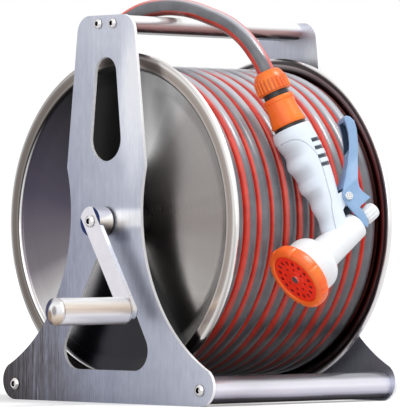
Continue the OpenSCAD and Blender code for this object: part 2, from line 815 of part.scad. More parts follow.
// Carries a piece onto the handle's axis, Z from the barrel up to the coupling
module on_handle(z = 0) {
    in_gun() rotate([0, -handle_lean, 0]) translate([0, 0, z]) children();
}

// Carries a piece onto the barrel's axis, its Z towards the dial
module on_barrel(x = 0) {
    in_gun() translate([x, 0, 0]) rotate([0, 90, 0]) children();
}

module coupling_body() {
    top = coupling_l - 5;
    color("black") on_handle(handle_l) difference() {
        union() {
            translate([0, 0, 6]) cylinder(h = top - 6, r = body_r);
            translate([0, 0, sleeve_l + 3.4]) cylinder(h = coupling_l - nut_l - sleeve_l - 3.4,
                r = collar_seat_r);
        }
        translate([0, 0, 5]) cylinder(h = coupling_l - socket_l - 5.5, r = nipple_r + thread_gap);
        translate([0, 0, coupling_l - socket_l - 0.2]) cylinder(h = 20, r = hose_r + hole_gap);
    }
}

module coupling_nut() {
    ribs = 20;
    low = coupling_l - nut_l;
    color("orangered") on_handle(handle_l) difference() {
        union() {
            translate([0, 0, low]) rotate_extrude() polygon([[0, 0], [nut_d / 2 - 0.8, 0],
                [nut_d / 2, 1], [nut_d / 2, 9], [nut_d / 2 - 1.2, 14], [nut_d / 2 - 3, nut_l - 1.5],
                [nut_d / 2 - 5, nut_l], [0, nut_l]]);
            for (k = [0:ribs - 1]) rotate(360 * k / ribs) translate([nut_d / 2 - 1, -0.8, low + 1.5])
                cube([1.6, 1.6, 7]);
        }
        translate([0, 0, low - 1]) cylinder(h = nut_l - 4, r = body_r + thread_gap);
        translate([0, 0, low - 1]) cylinder(h = nut_l + 2, r = hose_r + hole_gap);
    }
}

// The locking sleeve, which slides up over the collar to let the nipple go
module coupling_sleeve() {
    top_r = sleeve_d / 2 - 2.2;
    color("orangered") on_handle(handle_l + sleeve_at) difference() {
        rotate_extrude() polygon([[0, 0], [sleeve_d / 2 - 1, 0], [sleeve_d / 2, 1],
            [sleeve_d / 2, 5], [top_r, sleeve_l - 6], [top_r, sleeve_l - 4.5],
            [top_r + 0.9, sleeve_l - 3.8], [top_r + 0.9, sleeve_l - 0.8], [top_r, sleeve_l],
            [0, sleeve_l]]);
        translate([0, 0, -1]) cylinder(h = sleeve_l + 2, r = body_r + slide_gap);
        translate([0, 0, sleeve_l - 6]) cylinder(h = 7, r = collar_seat_r + 0.4);
    }
}

module gun_tail_nipple() {
    color("black") on_handle(handle_l) union() {
        cylinder(h = 2.6, r = 14.4);
        cylinder(h = 26, r = nipple_r);
    }
}

// One section of the handle, a rounded oval that reaches further back than forward
function handle_ring(row) = [for (k = [0:23])
    let (a = 15 * k, c = cos(a), s = sin(a), reach = c > 0 ? row[1] : row[2])
    [reach * sign(c) * pow(abs(c), 0.9), row[3] * sign(s) * pow(abs(s), 0.9), row[0]]];

module handle_loft() {
    n = len(handle_rows);
    points = [for (row = handle_rows) each handle_ring(row)];
    walls = [for (i = [0:n - 2], k = [0:23])
        let (a = 24 * i + k, b = 24 * i + (k + 1) % 24, c = a + 24, d = b + 24)
        each [[a, c, b], [b, c, d]]];
    last = 24 * (n - 1);
    ends = [for (k = [1:22]) each [[0, k, k + 1], [last, last + k + 1, last + k]]];
    polyhedron(points = points, faces = concat(walls, ends), convexity = 6);
}

// The room that the barrel's tapered body takes out of the parts around it
module barrel_seat() {
    rotate_extrude() polygon([[0, barrel_x - 20], [barrel_r + thread_gap, barrel_x - 20],
        [barrel_r + thread_gap, barrel_x], [neck_r + thread_gap, neck_x], [0, neck_x]]);
}

// The handle, trimmed where it meets the barrel, with four finger slots in each side
module gun_handle() {
    color("lightsteelblue") difference() {
        on_handle() handle_loft();
        on_barrel() barrel_seat();
        for (side = [0, 1], k = [0:3]) on_handle(64 + 7.7 * k) mirror([0, side, 0])
            linear_extrude(2.6) polygon([[-5, 12], [-5, 22], [-25, 12], [-18, 4]]);
        in_gun() ear(thread_gap);
    }
}

// The barrel's outline: a tapered body, a neck and a bell whose shoulder is a quarter oval
module gun_barrel() {
    arc = [for (a = [0:15:90]) [neck_r + (bell_r - neck_r) * sin(a),
        neck_x + shoulder_l * (1 - cos(a))]];
    color("white") on_barrel() difference() {
        rotate_extrude() polygon(concat([[0, barrel_x], [barrel_r - 1, barrel_x],
            [barrel_r, barrel_x + 1]], arc, [[bell_r, bell_x], [0, bell_x]]));
        translate([0, 0, bell_x - 6]) cylinder(h = 7, r = bell_r - 2);
        translate([0, 0, 22]) cylinder(h = 30, r = dial_stem_r);
        translate([0, 0, barrel_x - 1]) cylinder(h = 16, r = valve_r + run_gap);
    }
}

// The ear that stands out between the handle and the barrel to carry the lever's pin
module ear(grow) {
    ear_r = 6.5;
    root = 8;
    half = cheek_in - side_play + grow;
    rotate([90, 0, 0]) translate([0, 0, -half]) linear_extrude(2 * half) {
        translate(pivot) circle(ear_r + grow);
        polygon([[pivot[0] - 2, pivot[1] + 6.2 + grow], [pivot[0] + 5.5, pivot[1] - 3.6 - grow],
            [-20 + root, 16], [-20 + root, 36], [-20, 32]]);
    }
}

module lever_bracket() {
    color("lightsteelblue") difference() {
        in_gun() difference() {
            ear(0);
            translate([pivot[0], 10, pivot[1]]) rotate([90, 0, 0]) cylinder(h = 20, r = pin_r + run_gap);
        }
        on_barrel() barrel_seat();
    }
}

module valve_collar() {
    color("black") on_barrel(barrel_x - collar_l) difference() {
        cylinder(h = collar_l, r = collar_r);
        translate([0, 0, -1]) cylinder(h = collar_l + 2, r = valve_r + run_gap);
    }
}

module valve_stem() {
    color("silver") on_barrel(knob_x - knob_l + 4) cylinder(h = 34, r = valve_r);
}

module flow_knob() {
    color("white") on_barrel(knob_x - knob_l) difference() {
        union() {
            rotate_extrude() polygon([[0, 0], [knob_d / 2 - 2, 0], [knob_d / 2 - 0.6, 1.4],
                [knob_d / 2 - 0.6, knob_l], [0, knob_l]]);
            for (k = [0:knob_ribs - 1]) rotate(360 * k / knob_ribs)
                translate([knob_d / 2 - 1.6, -0.7, 2]) cube([1.5, 1.4, knob_l - 4]);
        }
        translate([0, 0, 3.5]) cylinder(h = knob_l, r = valve_r + run_gap);
    }
}

// The lever: a forked foot round the valve, a waisted blade and a spoon for the fingers
module gun_lever() {
    color("cornflowerblue") in_gun() intersection() {
        rotate([90, 0, 0]) translate([0, 0, -lever_w / 2]) difference() {
            linear_extrude(lever_w) polygon(lever_outline);
            translate([0, 0, lever_wall]) linear_extrude(2 * cheek_in) polygon(lever_fork);
            translate([0, 0, lever_w / 2 - spoon_half]) linear_extrude(2 * spoon_half)
                polygon(lever_spoon);
            translate([pivot[0], pivot[1], -1]) cylinder(h = lever_w + 2, r = pin_r + run_gap);
        }
        translate([-95, 0, 0]) rotate([90, 0, 90]) linear_extrude(90)
            polygon(concat(lever_rows, [for (k = [len(lever_rows) - 1:-1:0])
                [-lever_rows[k][0], lever_rows[k][1]]]));
    }
}

module lever_pin() {
    color("white") in_gun() translate([pivot[0], 0, pivot[1]]) rotate([-90, 0, 0])
        translate([0, 0, -lever_w / 2 - side_play]) union() {
            cylinder(h = lever_w + 2 * side_play, r = pin_r);
            translate([0, 0, lever_w + 2 * side_play]) cylinder(h = 1.8, r = pin_head_r);
            translate([0, 0, -1.4]) cylinder(h = 1.4, r = pin_head_r);
        }
}

// The dial: a grooved cup on a stem that turns in the barrel
module spray_dial() {
    notches = 8;
    color("orangered") on_barrel() difference() {
        union() {
            rotate_extrude() polygon([[0, dial_x], [dial_r - 3, dial_x], [dial_r - 1, dial_x + 1.5],
                [dial_r, dial_x + 6], [dial_r, dial_end_x - 3], [dial_r - 1, dial_end_x - 1],
                [dial_r - 3, dial_end_x], [0, dial_end_x]]);
            translate([0, 0, dial_x - 18]) cylinder(h = 20, r = dial_stem_r - run_gap);
            translate([0, 0, dial_x - 5]) cylinder(h = 6, r = bell_r - 2.6);
        }
        translate([0, 0, dial_end_x - face_t - 1.2]) cylinder(h = 9, r = face_r + 0.2);
        translate([0, 0, dial_end_x - 8]) cylinder(h = 9, r = 2);
        for (k = [0:notches - 1]) rotate(360 * k / notches)
            translate([dial_r + 1.4, 0, dial_x - 1]) cylinder(h = dial_l + 2, r = 2.6);
    }
}

// The spray face: a ring of jet holes round a plain middle
module dial_face() {
    color("red") on_barrel(dial_end_x - face_t - 1.2) difference() {
        cylinder(h = face_t, r = face_r);
        for (k = [0:15]) rotate(22.5 * k) translate([18.5, 0, -1]) cylinder(h = 5, r = 1.3);
        for (k = [0:7]) rotate(45 * k) translate([11.5, 0, -1]) cylinder(h = 5, r = 0.9);
        translate([0, 0, -1]) cylinder(h = 5, r = 2.1);
    }
}

module dial_screw() {
    color("silver") on_barrel(dial_end_x - 1.2) union() {
        translate([0, 0, -6.6]) cylinder(h = 7, r = 1.95);
        cylinder(h = 1.1, r = 3.4);
    }
}

crank_side_plate();
inlet_side_plate();
carry_bar();
carry_bar_screws();
front_cross_bar();
rear_cross_bar();
cross_bar_plugs();
cross_bar_screws();
crank_bush();
inlet_bush();
crank_flange();
inlet_flange();
drum_core();
flange_screws();
crank_stub();
water_stub();
barb_elbow();
hose_tail();
hose_inner_layers();
hose_winding();
crank_hub();
crank_arm();
crank_screw();
grip_spindle();
grip_washer();
crank_grip();
grip_cap();
inlet_elbow();
inlet_seals();
inlet_clip();
inlet_nipple();
hose_free_end();
coupling_body();
coupling_nut();
coupling_sleeve();
gun_tail_nipple();
gun_handle();
gun_barrel();
lever_bracket();
valve_collar();
valve_stem();
flow_knob();
gun_lever();
lever_pin();
spray_dial();
dial_face();
dial_screw();
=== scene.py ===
"""Looks of a garden hose reel with a crank, a wound hose and a spray gun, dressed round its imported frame."""

import json
import logging
import math
from contextlib import contextmanager
from dataclasses import dataclass
from enum import Enum
from typing import Callable, Dict, Iterator, List, Optional, Sequence, Tuple, Union

import bmesh
import bpy
import numpy as np
from bpy.types import bpy_prop_collection, ID, Material, Mesh, Node, NodeSocket, NodeTree, Object
from mathutils import Matrix, Vector

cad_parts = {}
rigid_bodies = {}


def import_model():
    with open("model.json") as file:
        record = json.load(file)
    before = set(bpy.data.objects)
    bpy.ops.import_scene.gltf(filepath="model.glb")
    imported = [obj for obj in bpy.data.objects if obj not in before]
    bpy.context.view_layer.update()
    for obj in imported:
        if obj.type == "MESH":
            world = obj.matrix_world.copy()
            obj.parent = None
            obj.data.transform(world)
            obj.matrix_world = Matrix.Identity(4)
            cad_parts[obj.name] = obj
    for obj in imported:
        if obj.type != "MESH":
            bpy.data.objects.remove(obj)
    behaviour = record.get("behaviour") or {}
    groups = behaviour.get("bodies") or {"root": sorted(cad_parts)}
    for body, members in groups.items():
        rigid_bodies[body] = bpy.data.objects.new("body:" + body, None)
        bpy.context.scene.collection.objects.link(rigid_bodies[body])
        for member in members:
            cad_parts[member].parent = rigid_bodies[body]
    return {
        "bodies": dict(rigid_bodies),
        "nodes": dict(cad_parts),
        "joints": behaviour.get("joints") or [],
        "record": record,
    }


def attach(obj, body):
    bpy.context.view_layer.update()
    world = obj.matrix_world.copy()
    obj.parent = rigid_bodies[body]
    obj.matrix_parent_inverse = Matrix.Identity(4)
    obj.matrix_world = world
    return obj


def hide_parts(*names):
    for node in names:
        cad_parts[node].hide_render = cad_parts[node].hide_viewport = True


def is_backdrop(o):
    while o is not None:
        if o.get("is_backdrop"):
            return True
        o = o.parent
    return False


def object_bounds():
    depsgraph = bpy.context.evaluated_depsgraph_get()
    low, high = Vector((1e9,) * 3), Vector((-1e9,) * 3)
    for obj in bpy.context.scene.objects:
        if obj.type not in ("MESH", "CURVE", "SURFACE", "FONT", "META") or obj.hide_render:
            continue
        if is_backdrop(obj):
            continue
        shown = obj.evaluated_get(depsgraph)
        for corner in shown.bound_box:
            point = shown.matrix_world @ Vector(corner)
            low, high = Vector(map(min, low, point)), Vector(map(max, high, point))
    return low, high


log = logging.getLogger("hose_reel")

MM = 0.001
AXLE_Z = 160.0
Array = np.ndarray
Pair = Tuple[float, float]
Triple = Tuple[float, float, float]
Colour = Tuple[float, float, float]
Stops = Sequence[Tuple[float, Colour]]
Plain = Union[float, int, "Wire"]
Relief = Callable[[Array, Array, Array], Array]


# ---------------------------------------------------------------- node trees


def maths_operator(operation: str, swapped: bool = False) -> Callable[..., "Wire"]:
    """Makes a method that adds one Math node.

    Args:
        operation: The node's operation.
        swapped: Whether the wire stands after the other value.

    Returns:
        The method, for a class to hold.
    """
    def apply(wire: "Wire", *others: Plain) -> "Wire":
        """Adds the node to the wire's tree."""
        return wire.graph.maths(operation, *((*others, wire) if swapped else (wire, *others)))
    return apply


class Wire:
    """One output socket of a node tree, which takes part in Python arithmetic."""

    def __init__(self, graph: "Graph", socket: NodeSocket) -> None:
        """Keeps the tree and the socket.

        Args:
            graph: The tree that new Math nodes go into.
            socket: The output socket that this wire stands for.
        """
        self.graph = graph
        self.socket = socket

    __add__ = maths_operator("ADD")
    __radd__ = maths_operator("ADD", swapped=True)
    __sub__ = maths_operator("SUBTRACT")
    __rsub__ = maths_operator("SUBTRACT", swapped=True)
    __mul__ = maths_operator("MULTIPLY")
    __truediv__ = maths_operator("DIVIDE")
    size = maths_operator("ABSOLUTE")
    root = maths_operator("SQRT")
    wave = maths_operator("SINE")
    angle = maths_operator("ARCCOSINE")


class Graph:
    """A node tree under construction, for shaders and for geometry."""

    def __init__(self, tree: NodeTree) -> None:
        """Keeps the tree.

        Args:
            tree: The tree that nodes are added to.
        """
        self.tree = tree

    def add(self, kind: str, inputs: Optional[Dict] = None, **settings: str) -> Node:
        """Adds one node.

        Args:
            kind: The node's type name.
            inputs: Values or wires by socket name, identifier or number.
            **settings: Properties, which are set first.

        Returns:
            The new node.
        """
        node = self.tree.nodes.new(kind)
        for key, value in settings.items():
            setattr(node, key, value)
        for key, value in (inputs or {}).items():
            socket = self._socket(node.inputs, key)
            if isinstance(value, Wire):
                self.tree.links.new(value.socket, socket)
            else:
                socket.default_value = value
        return node

    @staticmethod
    def _socket(sockets: bpy_prop_collection, key: Union[str, int]) -> NodeSocket:
        """Finds a socket by number, identifier or name.

        Args:
            sockets: The inputs or the outputs of a node.
            key: What to look for.

        Returns:
            The first socket in use that fits.
        """
        if isinstance(key, int):
            return sockets[key]
        named = [s for s in sockets if s.enabled and key in (s.identifier, s.name)]
        return next((s for s in named if s.identifier == key), named[0])

    def out(self, node: Node, key: Union[str, int] = 0) -> Wire:
        """Output of a node as a wire."""
        return Wire(self, self._socket(node.outputs, key))

    def wire(self, kind: str, inputs: Optional[Dict] = None, key: Union[str, int] = 0,
             **settings: str) -> Wire:
        """Adds one node and returns its output of the given name or number."""
        return self.out(self.add(kind, inputs, **settings), key)

    def maths(self, operation: str, *values: Plain) -> Wire:
        """Math node on one to three values."""
        return self.wire("ShaderNodeMath", dict(enumerate(values)), operation=operation)

    def product(self, *values: Union[Wire, Triple]) -> Wire:
        """Product of two vectors, part by part."""
        return self.wire("ShaderNodeVectorMath", dict(enumerate(values)), operation="MULTIPLY")

    def split(self, vector: Wire) -> Tuple[Wire, Wire, Wire]:
        """The three parts of a vector."""
        node = self.add("ShaderNodeSeparateXYZ", {0: vector})
        return self.out(node, 0), self.out(node, 1), self.out(node, 2)

    def joined(self, x: Plain, y: Plain, z: Plain) -> Wire:
        """A vector of three parts."""
        return self.wire("ShaderNodeCombineXYZ", {0: x, 1: y, 2: z})

    def band(self, value: Wire, low: float, high: float) -> Wire:
        """Smooth step of a value from 0 at low to 1 at high."""
        return self.wire("ShaderNodeMapRange", {"Value": value, "From Min": low, "From Max": high}, "Result",
                         interpolation_type="SMOOTHSTEP")


class Paint(Graph):
    """The node tree of one material."""

    def __init__(self, name: str) -> None:
        """Makes an empty material.

        Args:
            name: The material's name.
        """
        self.material = bpy.data.materials.new(name)
        self.material.use_nodes = True
        super().__init__(self.material.node_tree)
        self.tree.nodes.clear()
        self.coordinates = self.add("ShaderNodeTexCoord")

    def place(self, scales: Triple = (1.0, 1.0, 1.0)) -> Wire:
        """Object coordinates in millimetres, each multiplied by its scale."""
        return self.product(self.out(self.coordinates, "Object"), tuple(s / MM for s in scales))

    def facing(self) -> Tuple[Wire, Wire, Wire]:
        """The parts of the surface's own direction."""
        return self.split(self.out(self.coordinates, "Normal"))

    def noise(self, vector: Wire, scale: float = 1.0, detail: float = 3.0, rough: float = 0.5) -> Wire:
        """Noise from 0 to 1."""
        return self.wire("ShaderNodeTexNoise",
                         {"Vector": vector, "Scale": scale, "Detail": detail, "Roughness": rough})

    def kept(self, name: str, key: str = "Fac") -> Wire:
        """A value that the mesh keeps under a name."""
        return self.wire("ShaderNodeAttribute", None, key, attribute_name=name)

    def apart(self, a: Wire, b: Wire, at: Pair, half: Pair) -> Wire:
        """Squared distance from a place, in its half widths."""
        u, v = (a - at[0]) * (1.0 / half[0]), (b - at[1]) * (1.0 / half[1])
        return u * u + v * v

    def near(self, value: Wire, at: float, low: float, high: float) -> Wire:
        """1 within low of a value, and 0 beyond high."""
        return 1.0 - self.band((value - at).size(), low, high)

    def blend(self, share: Plain, low: Union[Colour, Wire], high: Union[Colour, Wire]) -> Wire:
        """Mix of two colours.

        Args:
            share: Share of the second colour.
            low: The first colour.
            high: The second colour.

        Returns:
            The mixed colour.
        """
        first, second = (c if isinstance(c, Wire) else (*c, 1.0) for c in (low, high))
        return self.wire("ShaderNodeMix", {"Factor_Float": share, "A_Color": first, "B_Color": second},
                         "Result_Color", data_type="RGBA")

    def ramp(self, value: Wire, stops: Stops) -> Wire:
        """Colour from a value between 0 and 1.

        Args:
            value: The value.
            stops: Places and colours, in order.

        Returns:
            The colour.
        """
        node = self.add("ShaderNodeValToRGB", {"Fac": value})
        elements = node.color_ramp.elements
        elements[0].position, elements[-1].position = stops[0][0], stops[-1][0]
        for at, _ in stops[1:-1]:
            elements.new(at)
        for element, (_, colour) in zip(elements, stops):
            element.color = (*colour, 1)
        return self.out(node, "Color")

    def toned(self, colour: Wire, share: Wire) -> Wire:
        """A colour made darker or paler by a factor."""
        return self.product(colour, self.joined(share, share, share))

    def bump(self, height: Wire, depth: float, strength: float = 1.0) -> Wire:
        """Normal from a height between 0 and 1 and its depth in millimetres."""
        return self.wire("ShaderNodeBump", {"Height": height, "Distance": depth * MM, "Strength": strength})

    def surface(self, colour: Wire, roughness: Wire, metallic: Plain, normal: Wire, **fixed: float) -> None:
        """Ends the tree in a Principled surface.

        Args:
            colour: Base colour.
            roughness: Roughness.
            metallic: How metallic it is.
            normal: The bumped direction.
            **fixed: Values of other sockets, with _ for a space.
        """
        inputs: Dict = {"Base Color": colour, "Roughness": roughness, "Metallic": metallic}
        inputs.update({key.replace("_", " "): value for key, value in fixed.items()})
        inputs["Normal"] = normal
        shader = self.wire("ShaderNodeBsdfPrincipled", inputs)
        self.add("ShaderNodeOutputMaterial", {"Surface": shader})


# ------------------------------------------------------------------ finishes


class Grain(Enum):
    """The way that the brush ran over a metal, as how fast its lines change along each axis."""

    UPRIGHT = (3.0, 3.0, 0.09)
    ALONG_AXLE = (0.09, 3.0, 3.0)


class Finish:
    """A surface that is painted once, in the part's own millimetres."""

    name: str

    def paint(self, p: Paint) -> None:
        """Paints the surface; each finish has its own way.

        Args:
            p: The material's empty tree.
        """
        raise NotImplementedError

    def material(self) -> Material:
        """Builds the material.

        Returns:
            The finished material.
        """
        p = Paint(self.name)
        self.paint(p)
        return p.material


@dataclass(frozen=True)
class PlateSteel(Finish):
    """Brushed side plate. Its tones, a painted reflection, run from the rear foot, dark, to the top front,
    pale.
    """

    name: str
    # the hub's painted reflection, a pale band beside the hub, with its painted shadow below
    painted_hub_reflection: bool = False
    # the inner face's painted shade and the painted light on part of it
    inner: Tuple[Colour, ...] = ()
    # pale cut edges: a painted highlight
    edge: Colour = (0.95, 0.95, 0.97)
    roughness: float = 0.42
    tones: Stops = (
        (0.0, (0.05, 0.045, 0.048)), (0.15, (0.125, 0.115, 0.13)), (0.4, (0.33, 0.35, 0.445)),
        (0.6, (0.48, 0.5, 0.59)), (0.88, (0.71, 0.735, 0.815)), (1.0, (0.84, 0.855, 0.9)))
    level: float = 0.38
    rise_up: float = 0.001
    fall_back: float = 0.0021
    highlight_at: Pair = (-36.0, 262.0)
    highlight_half: Pair = (19.0, 66.0)
    foot_y: Pair = (30.0, 110.0)
    foot_z: Pair = (60.0, 150.0)
    hub_reflection_z: float = 163.0
    hub_reflection_y: Pair = (-15.0, -8.0)
    hub_shadow_at: Pair = (-22.0, 147.0)
    lit_y: Pair = (-16.0, -4.0)
    lit_z: Pair = (128.0, 196.0)

    def paint(self, p: Paint) -> None:
        """Paints grain and cloud on a slow slope of tone, a painted reflection, with a painted highlight
        beside the slot, the hub's painted reflection and painted shadow where asked, painted shade and light
        on the inner face and a painted highlight on the cut edges.

        Args:
            p: The material's empty tree.
        """
        place = p.place()
        _, y, z = p.split(place)
        nx, _, _ = p.facing()
        fine = p.noise(p.place(Grain.UPRIGHT.value), 1.0, 2.0)
        broad = p.noise(p.place((0.6, 0.6, 0.015)), 1.0, 3.0)
        cloud = p.noise(place, 0.02, 2.0)
        blotch = p.noise(p.place((1.0, 1.0, 0.4)), 0.16, 3.0, 0.6)
        # painted highlight: a bright place beside the slot
        bright = 1.0 - p.band(p.apart(y, z, self.highlight_at, self.highlight_half), 0.1, 1.7)
        foot = p.band(y, *self.foot_y) * (1.0 - p.band(z, *self.foot_z)) * 0.35
        # the rise of tone upwards and towards the front is a painted reflection
        share = self.level + z * self.rise_up - y * self.fall_back + bright * 0.26 - foot * 0.14
        share = share + (fine - 0.5) * (foot + 0.28) + (broad - 0.5) * (foot + 0.16)
        share = share + (cloud - 0.5) * 0.14 + (blotch - 0.5) * 0.16
        # painted reflection of the hub as a pale band, with its painted shadow below
        if self.painted_hub_reflection:
            outside = p.band(nx * -1.0, 0.5, 0.8)
            shine = p.near(z, self.hub_reflection_z, 5.0, 10.5) * (1.0 - p.band(y, *self.hub_reflection_y))
            under = p.near(z, self.hub_shadow_at[1], 2.0, 8.0) * p.near(y, self.hub_shadow_at[0], 6.0, 15.0)
            share = share + (shine * 0.32 - under * 0.2) * outside
        colour = p.ramp(share, self.tones)
        # painted shade on the inner face, with painted light on its lit part
        if self.inner:
            lit = p.band(z, *self.lit_z) * (1.0 - p.band(y, *self.lit_y))
            colour = p.blend(p.band(nx, 0.5, 0.8), colour, p.blend(lit, *self.inner))
        # cut edges painted pale as a painted highlight
        cut = 1.0 - p.band(nx.size(), 0.35, 0.8)
        colour = p.blend(cut, colour, self.edge)
        p.surface(colour, self.roughness + (fine - 0.5) * 0.18 - cut * 0.1, 0.86 - cut * 0.7,
                  p.bump(fine, 0.05, 0.5))


@dataclass(frozen=True)
class RoundBar(Finish):
    """Polished bar along the axle, its tone painted light, shade and reflection by how far each place faces
    up, from 0 below to 1 above.
    """

    name: str
    tones: Stops
    roughness: float = 0.24
    metallic: float = 0.65
    lines_at: Tuple[float, ...] = ()
    line_half: float = 0.45
    line: Colour = (0.1, 0.085, 0.08)

    def paint(self, p: Paint) -> None:
        """Paints the tones of painted light, shade and reflection, fine grain along the axle and thin dark
        lines round the bar.

        Args:
            p: The material's empty tree.
        """
        x, _, _ = p.split(p.place())
        nx, _, nz = p.facing()
        fine = p.noise(p.place(Grain.ALONG_AXLE.value), 1.0, 2.0)
        cloud = p.noise(p.place((0.012, 0.05, 0.05)), 1.0, 2.0)
        # painted light, shade and reflection by how far the surface faces up
        colour = p.ramp(nz * 0.5 + 0.5 + (cloud - 0.5) * 0.1, self.tones)
        colour = p.toned(colour, 0.93 + fine * 0.14)
        for at in self.lines_at:
            line = p.near(x, at, self.line_half * 0.4, self.line_half) * p.near(nx, 0.0, 0.3, 0.6)
            colour = p.blend(line * 0.8, colour, self.line)
        p.surface(colour, self.roughness + (fine - 0.5) * 0.1, self.metallic, p.bump(fine, 0.03, 0.4))


@dataclass(frozen=True)
class FlangeSteel(Finish):
    """Spun flange: painted highlights and reflections by degrees from the front of the axle over its top, and
    a rolled rim with painted reflection bands, painted light and painted shade.
    """

    name: str
    # painted reflection bands of the rim, from the dish's edge outwards
    rim_tones: Stops
    dish_r: float = 135.6
    rim_w: float = 15.0
    # painted light on rim faces turned to -Y, painted shade on those turned to +Y
    rim_lit: Colour = (0.9, 0.89, 0.88)
    rim_painted_shade: Colour = (0.075, 0.062, 0.06)
    # painted highlights and dark painted reflections by degrees round the dish
    tones: Stops = (
        (-180, (0.3, 0.27, 0.26)), (-145, (0.42, 0.4, 0.38)), (-128, (0.03, 0.03, 0.03)),
        (-62, (0.04, 0.04, 0.05)), (-37, (0.6, 0.58, 0.58)), (-20, (0.2, 0.18, 0.2)),
        (12, (0.08, 0.07, 0.1)), (60, (0.02, 0.02, 0.02)), (90, (0.02, 0.02, 0.02)),
        (118, (0.8, 0.8, 0.8)), (132, (0.4, 0.38, 0.37)), (180, (0.3, 0.27, 0.26)))

    def paint(self, p: Paint) -> None:
        """Paints the dish's painted highlights and reflections with fine rings and soft rays, and the rim by
        its own tones of painted reflection, with painted light and shade.

        Args:
            p: The material's empty tree.
        """
        _, y, z = p.split(p.place())
        _, ny, nz = p.facing()
        up = z - AXLE_Z
        r = (y * y + up * up + 0.01).root()
        c, s = y / r, up / r
        rings = p.noise(p.joined(r * 2.6, c * 0.8, s * 0.8), 1.0, 2.0)
        rays = p.noise(p.joined(c * 9.0, s * 9.0, r * 0.01), 1.0, 3.0)
        turn = p.maths("ARCTAN2", up, y) * (0.5 / math.pi) + 0.5
        # painted highlights and dark painted reflections round the dish, by angle
        dish = p.ramp(turn, [(a / 360.0 + 0.5, colour) for a, colour in self.tones])
        dish = p.toned(dish, 0.8 + rings * 0.22 + rays * 0.18)
        aside = ny - nz * 0.45
        # painted reflection bands of the rim, by radius
        rim = p.ramp((r - self.dish_r) * (1.0 / self.rim_w), self.rim_tones)
        # painted shade: the rim darker on its +Y side
        rim = p.toned(rim, 1.0 - p.band(c + s * 0.2, 0.1, 0.8) * 0.5)
        # painted light on faces turned to -Y and up, painted shade on faces turned to +Y and down
        rim = p.blend(p.band(aside * -1.0, 0.35, 0.75), rim, self.rim_lit)
        rim = p.blend(p.band(aside, 0.35, 0.75), rim, self.rim_painted_shade)
        rim = p.toned(rim, 0.9 + rings * 0.2)
        edge = p.band(r, self.dish_r - 0.4, self.dish_r + 0.4)
        rough = 0.24 + p.band(z, 150.0, 215.0) * 0.14 + (rings - 0.5) * 0.12 - edge * 0.08
        p.surface(p.blend(edge, dish, rim), rough, 1.0, p.bump(rings, 0.04, 0.5))


@dataclass(frozen=True)
class CapSteel(Finish):
    """Polished cap of the grip: painted light and reflection from below to above, a painted dark blue
    reflection on its rear edge, and soft spots of painted reflection as centre, half widths, fade and colour,
    in radii.
    """

    name: str
    at: Pair = (-48.0, 82.0)
    radius: float = 12.0
    # painted light and reflection from below to above
    tones: Stops = ((0.04, (0.3, 0.23, 0.18)), (0.2, (0.62, 0.5, 0.4)), (0.34, (0.8, 0.7, 0.6)),
                    (0.48, (0.86, 0.86, 0.9)), (0.72, (0.95, 0.95, 0.96)), (0.92, (0.6, 0.58, 0.6)))
    # painted dark blue reflection on the rear edge
    dark_blue: Colour = (0.03, 0.033, 0.1)
    # soft painted reflections
    spots: Tuple[Tuple[Pair, Pair, Pair, Colour], ...] = (
        ((-0.2, 0.05), (0.6742, 1.0), (0.2, 0.5), (0.36, 0.33, 0.33)),
        ((0.3, -0.3), (0.5774, 1.0), (0.25, 0.6), (0.34, 0.24, 0.17)))

    def paint(self, p: Paint) -> None:
        """Paints the painted light and reflection from below to above, the painted dark blue reflection on the
        rear edge and the painted reflection spots.

        Args:
            p: The material's empty tree.
        """
        place = p.place()
        _, y, z = p.split(place)
        fine = p.noise(place, 1.8, 2.0)
        across, up = ((v - at) * (1.0 / self.radius) for v, at in zip((y, z), self.at))
        # painted light and reflection by height
        colour = p.ramp(up * 0.5 + 0.5 + (fine - 0.5) * 0.05, self.tones)
        off = p.apart(across, up, (-0.35, -0.05), (1.0, 1.0)).root()
        # painted dark blue reflection on the rear edge
        colour = p.blend(p.band(off, 0.66, 0.9) * p.band(across, -0.1, 0.3), colour, self.dark_blue)
        # painted reflection spots
        for at, half, fade, spot in self.spots:
            colour = p.blend(1.0 - p.band(p.apart(across, up, at, half).root(), *fade), colour, spot)
        p.surface(colour, 0.2 + (fine - 0.5) * 0.08, 0.8, p.bump(fine, 0.01, 0.3))


@dataclass(frozen=True)
class HubSteel(Finish):
    """Machined hub, its tone painted light and shade by how far each place faces up, with a dark blue end
    round the arm's seat.
    """

    name: str
    tones: Stops = ((0.05, (0.1, 0.085, 0.08)), (0.22, (0.36, 0.28, 0.2)), (0.4, (0.66, 0.56, 0.43)),
                    (0.62, (0.88, 0.84, 0.78)), (0.85, (0.96, 0.95, 0.93)))
    dark_blue: Tuple[Colour, Colour] = ((0.012, 0.022, 0.085), (0.03, 0.05, 0.165))

    def paint(self, p: Paint) -> None:
        """Paints the painted light and shade round the hub and the dark blue end.

        Args:
            p: The material's empty tree.
        """
        fine = p.noise(p.place(), 1.6, 3.0)
        nx, _, nz = p.facing()
        # painted light and shade: pale on top, dark below
        metal = p.ramp(nz * 0.5 + 0.5 + (fine - 0.5) * 0.06, self.tones)
        colour = p.blend(p.band(nx * -1.0, 0.7, 0.9), metal, p.blend(fine, *self.dark_blue))
        p.surface(colour, 0.26 + (fine - 0.5) * 0.1, 1.0, p.bump(fine, 0.02, 0.4))


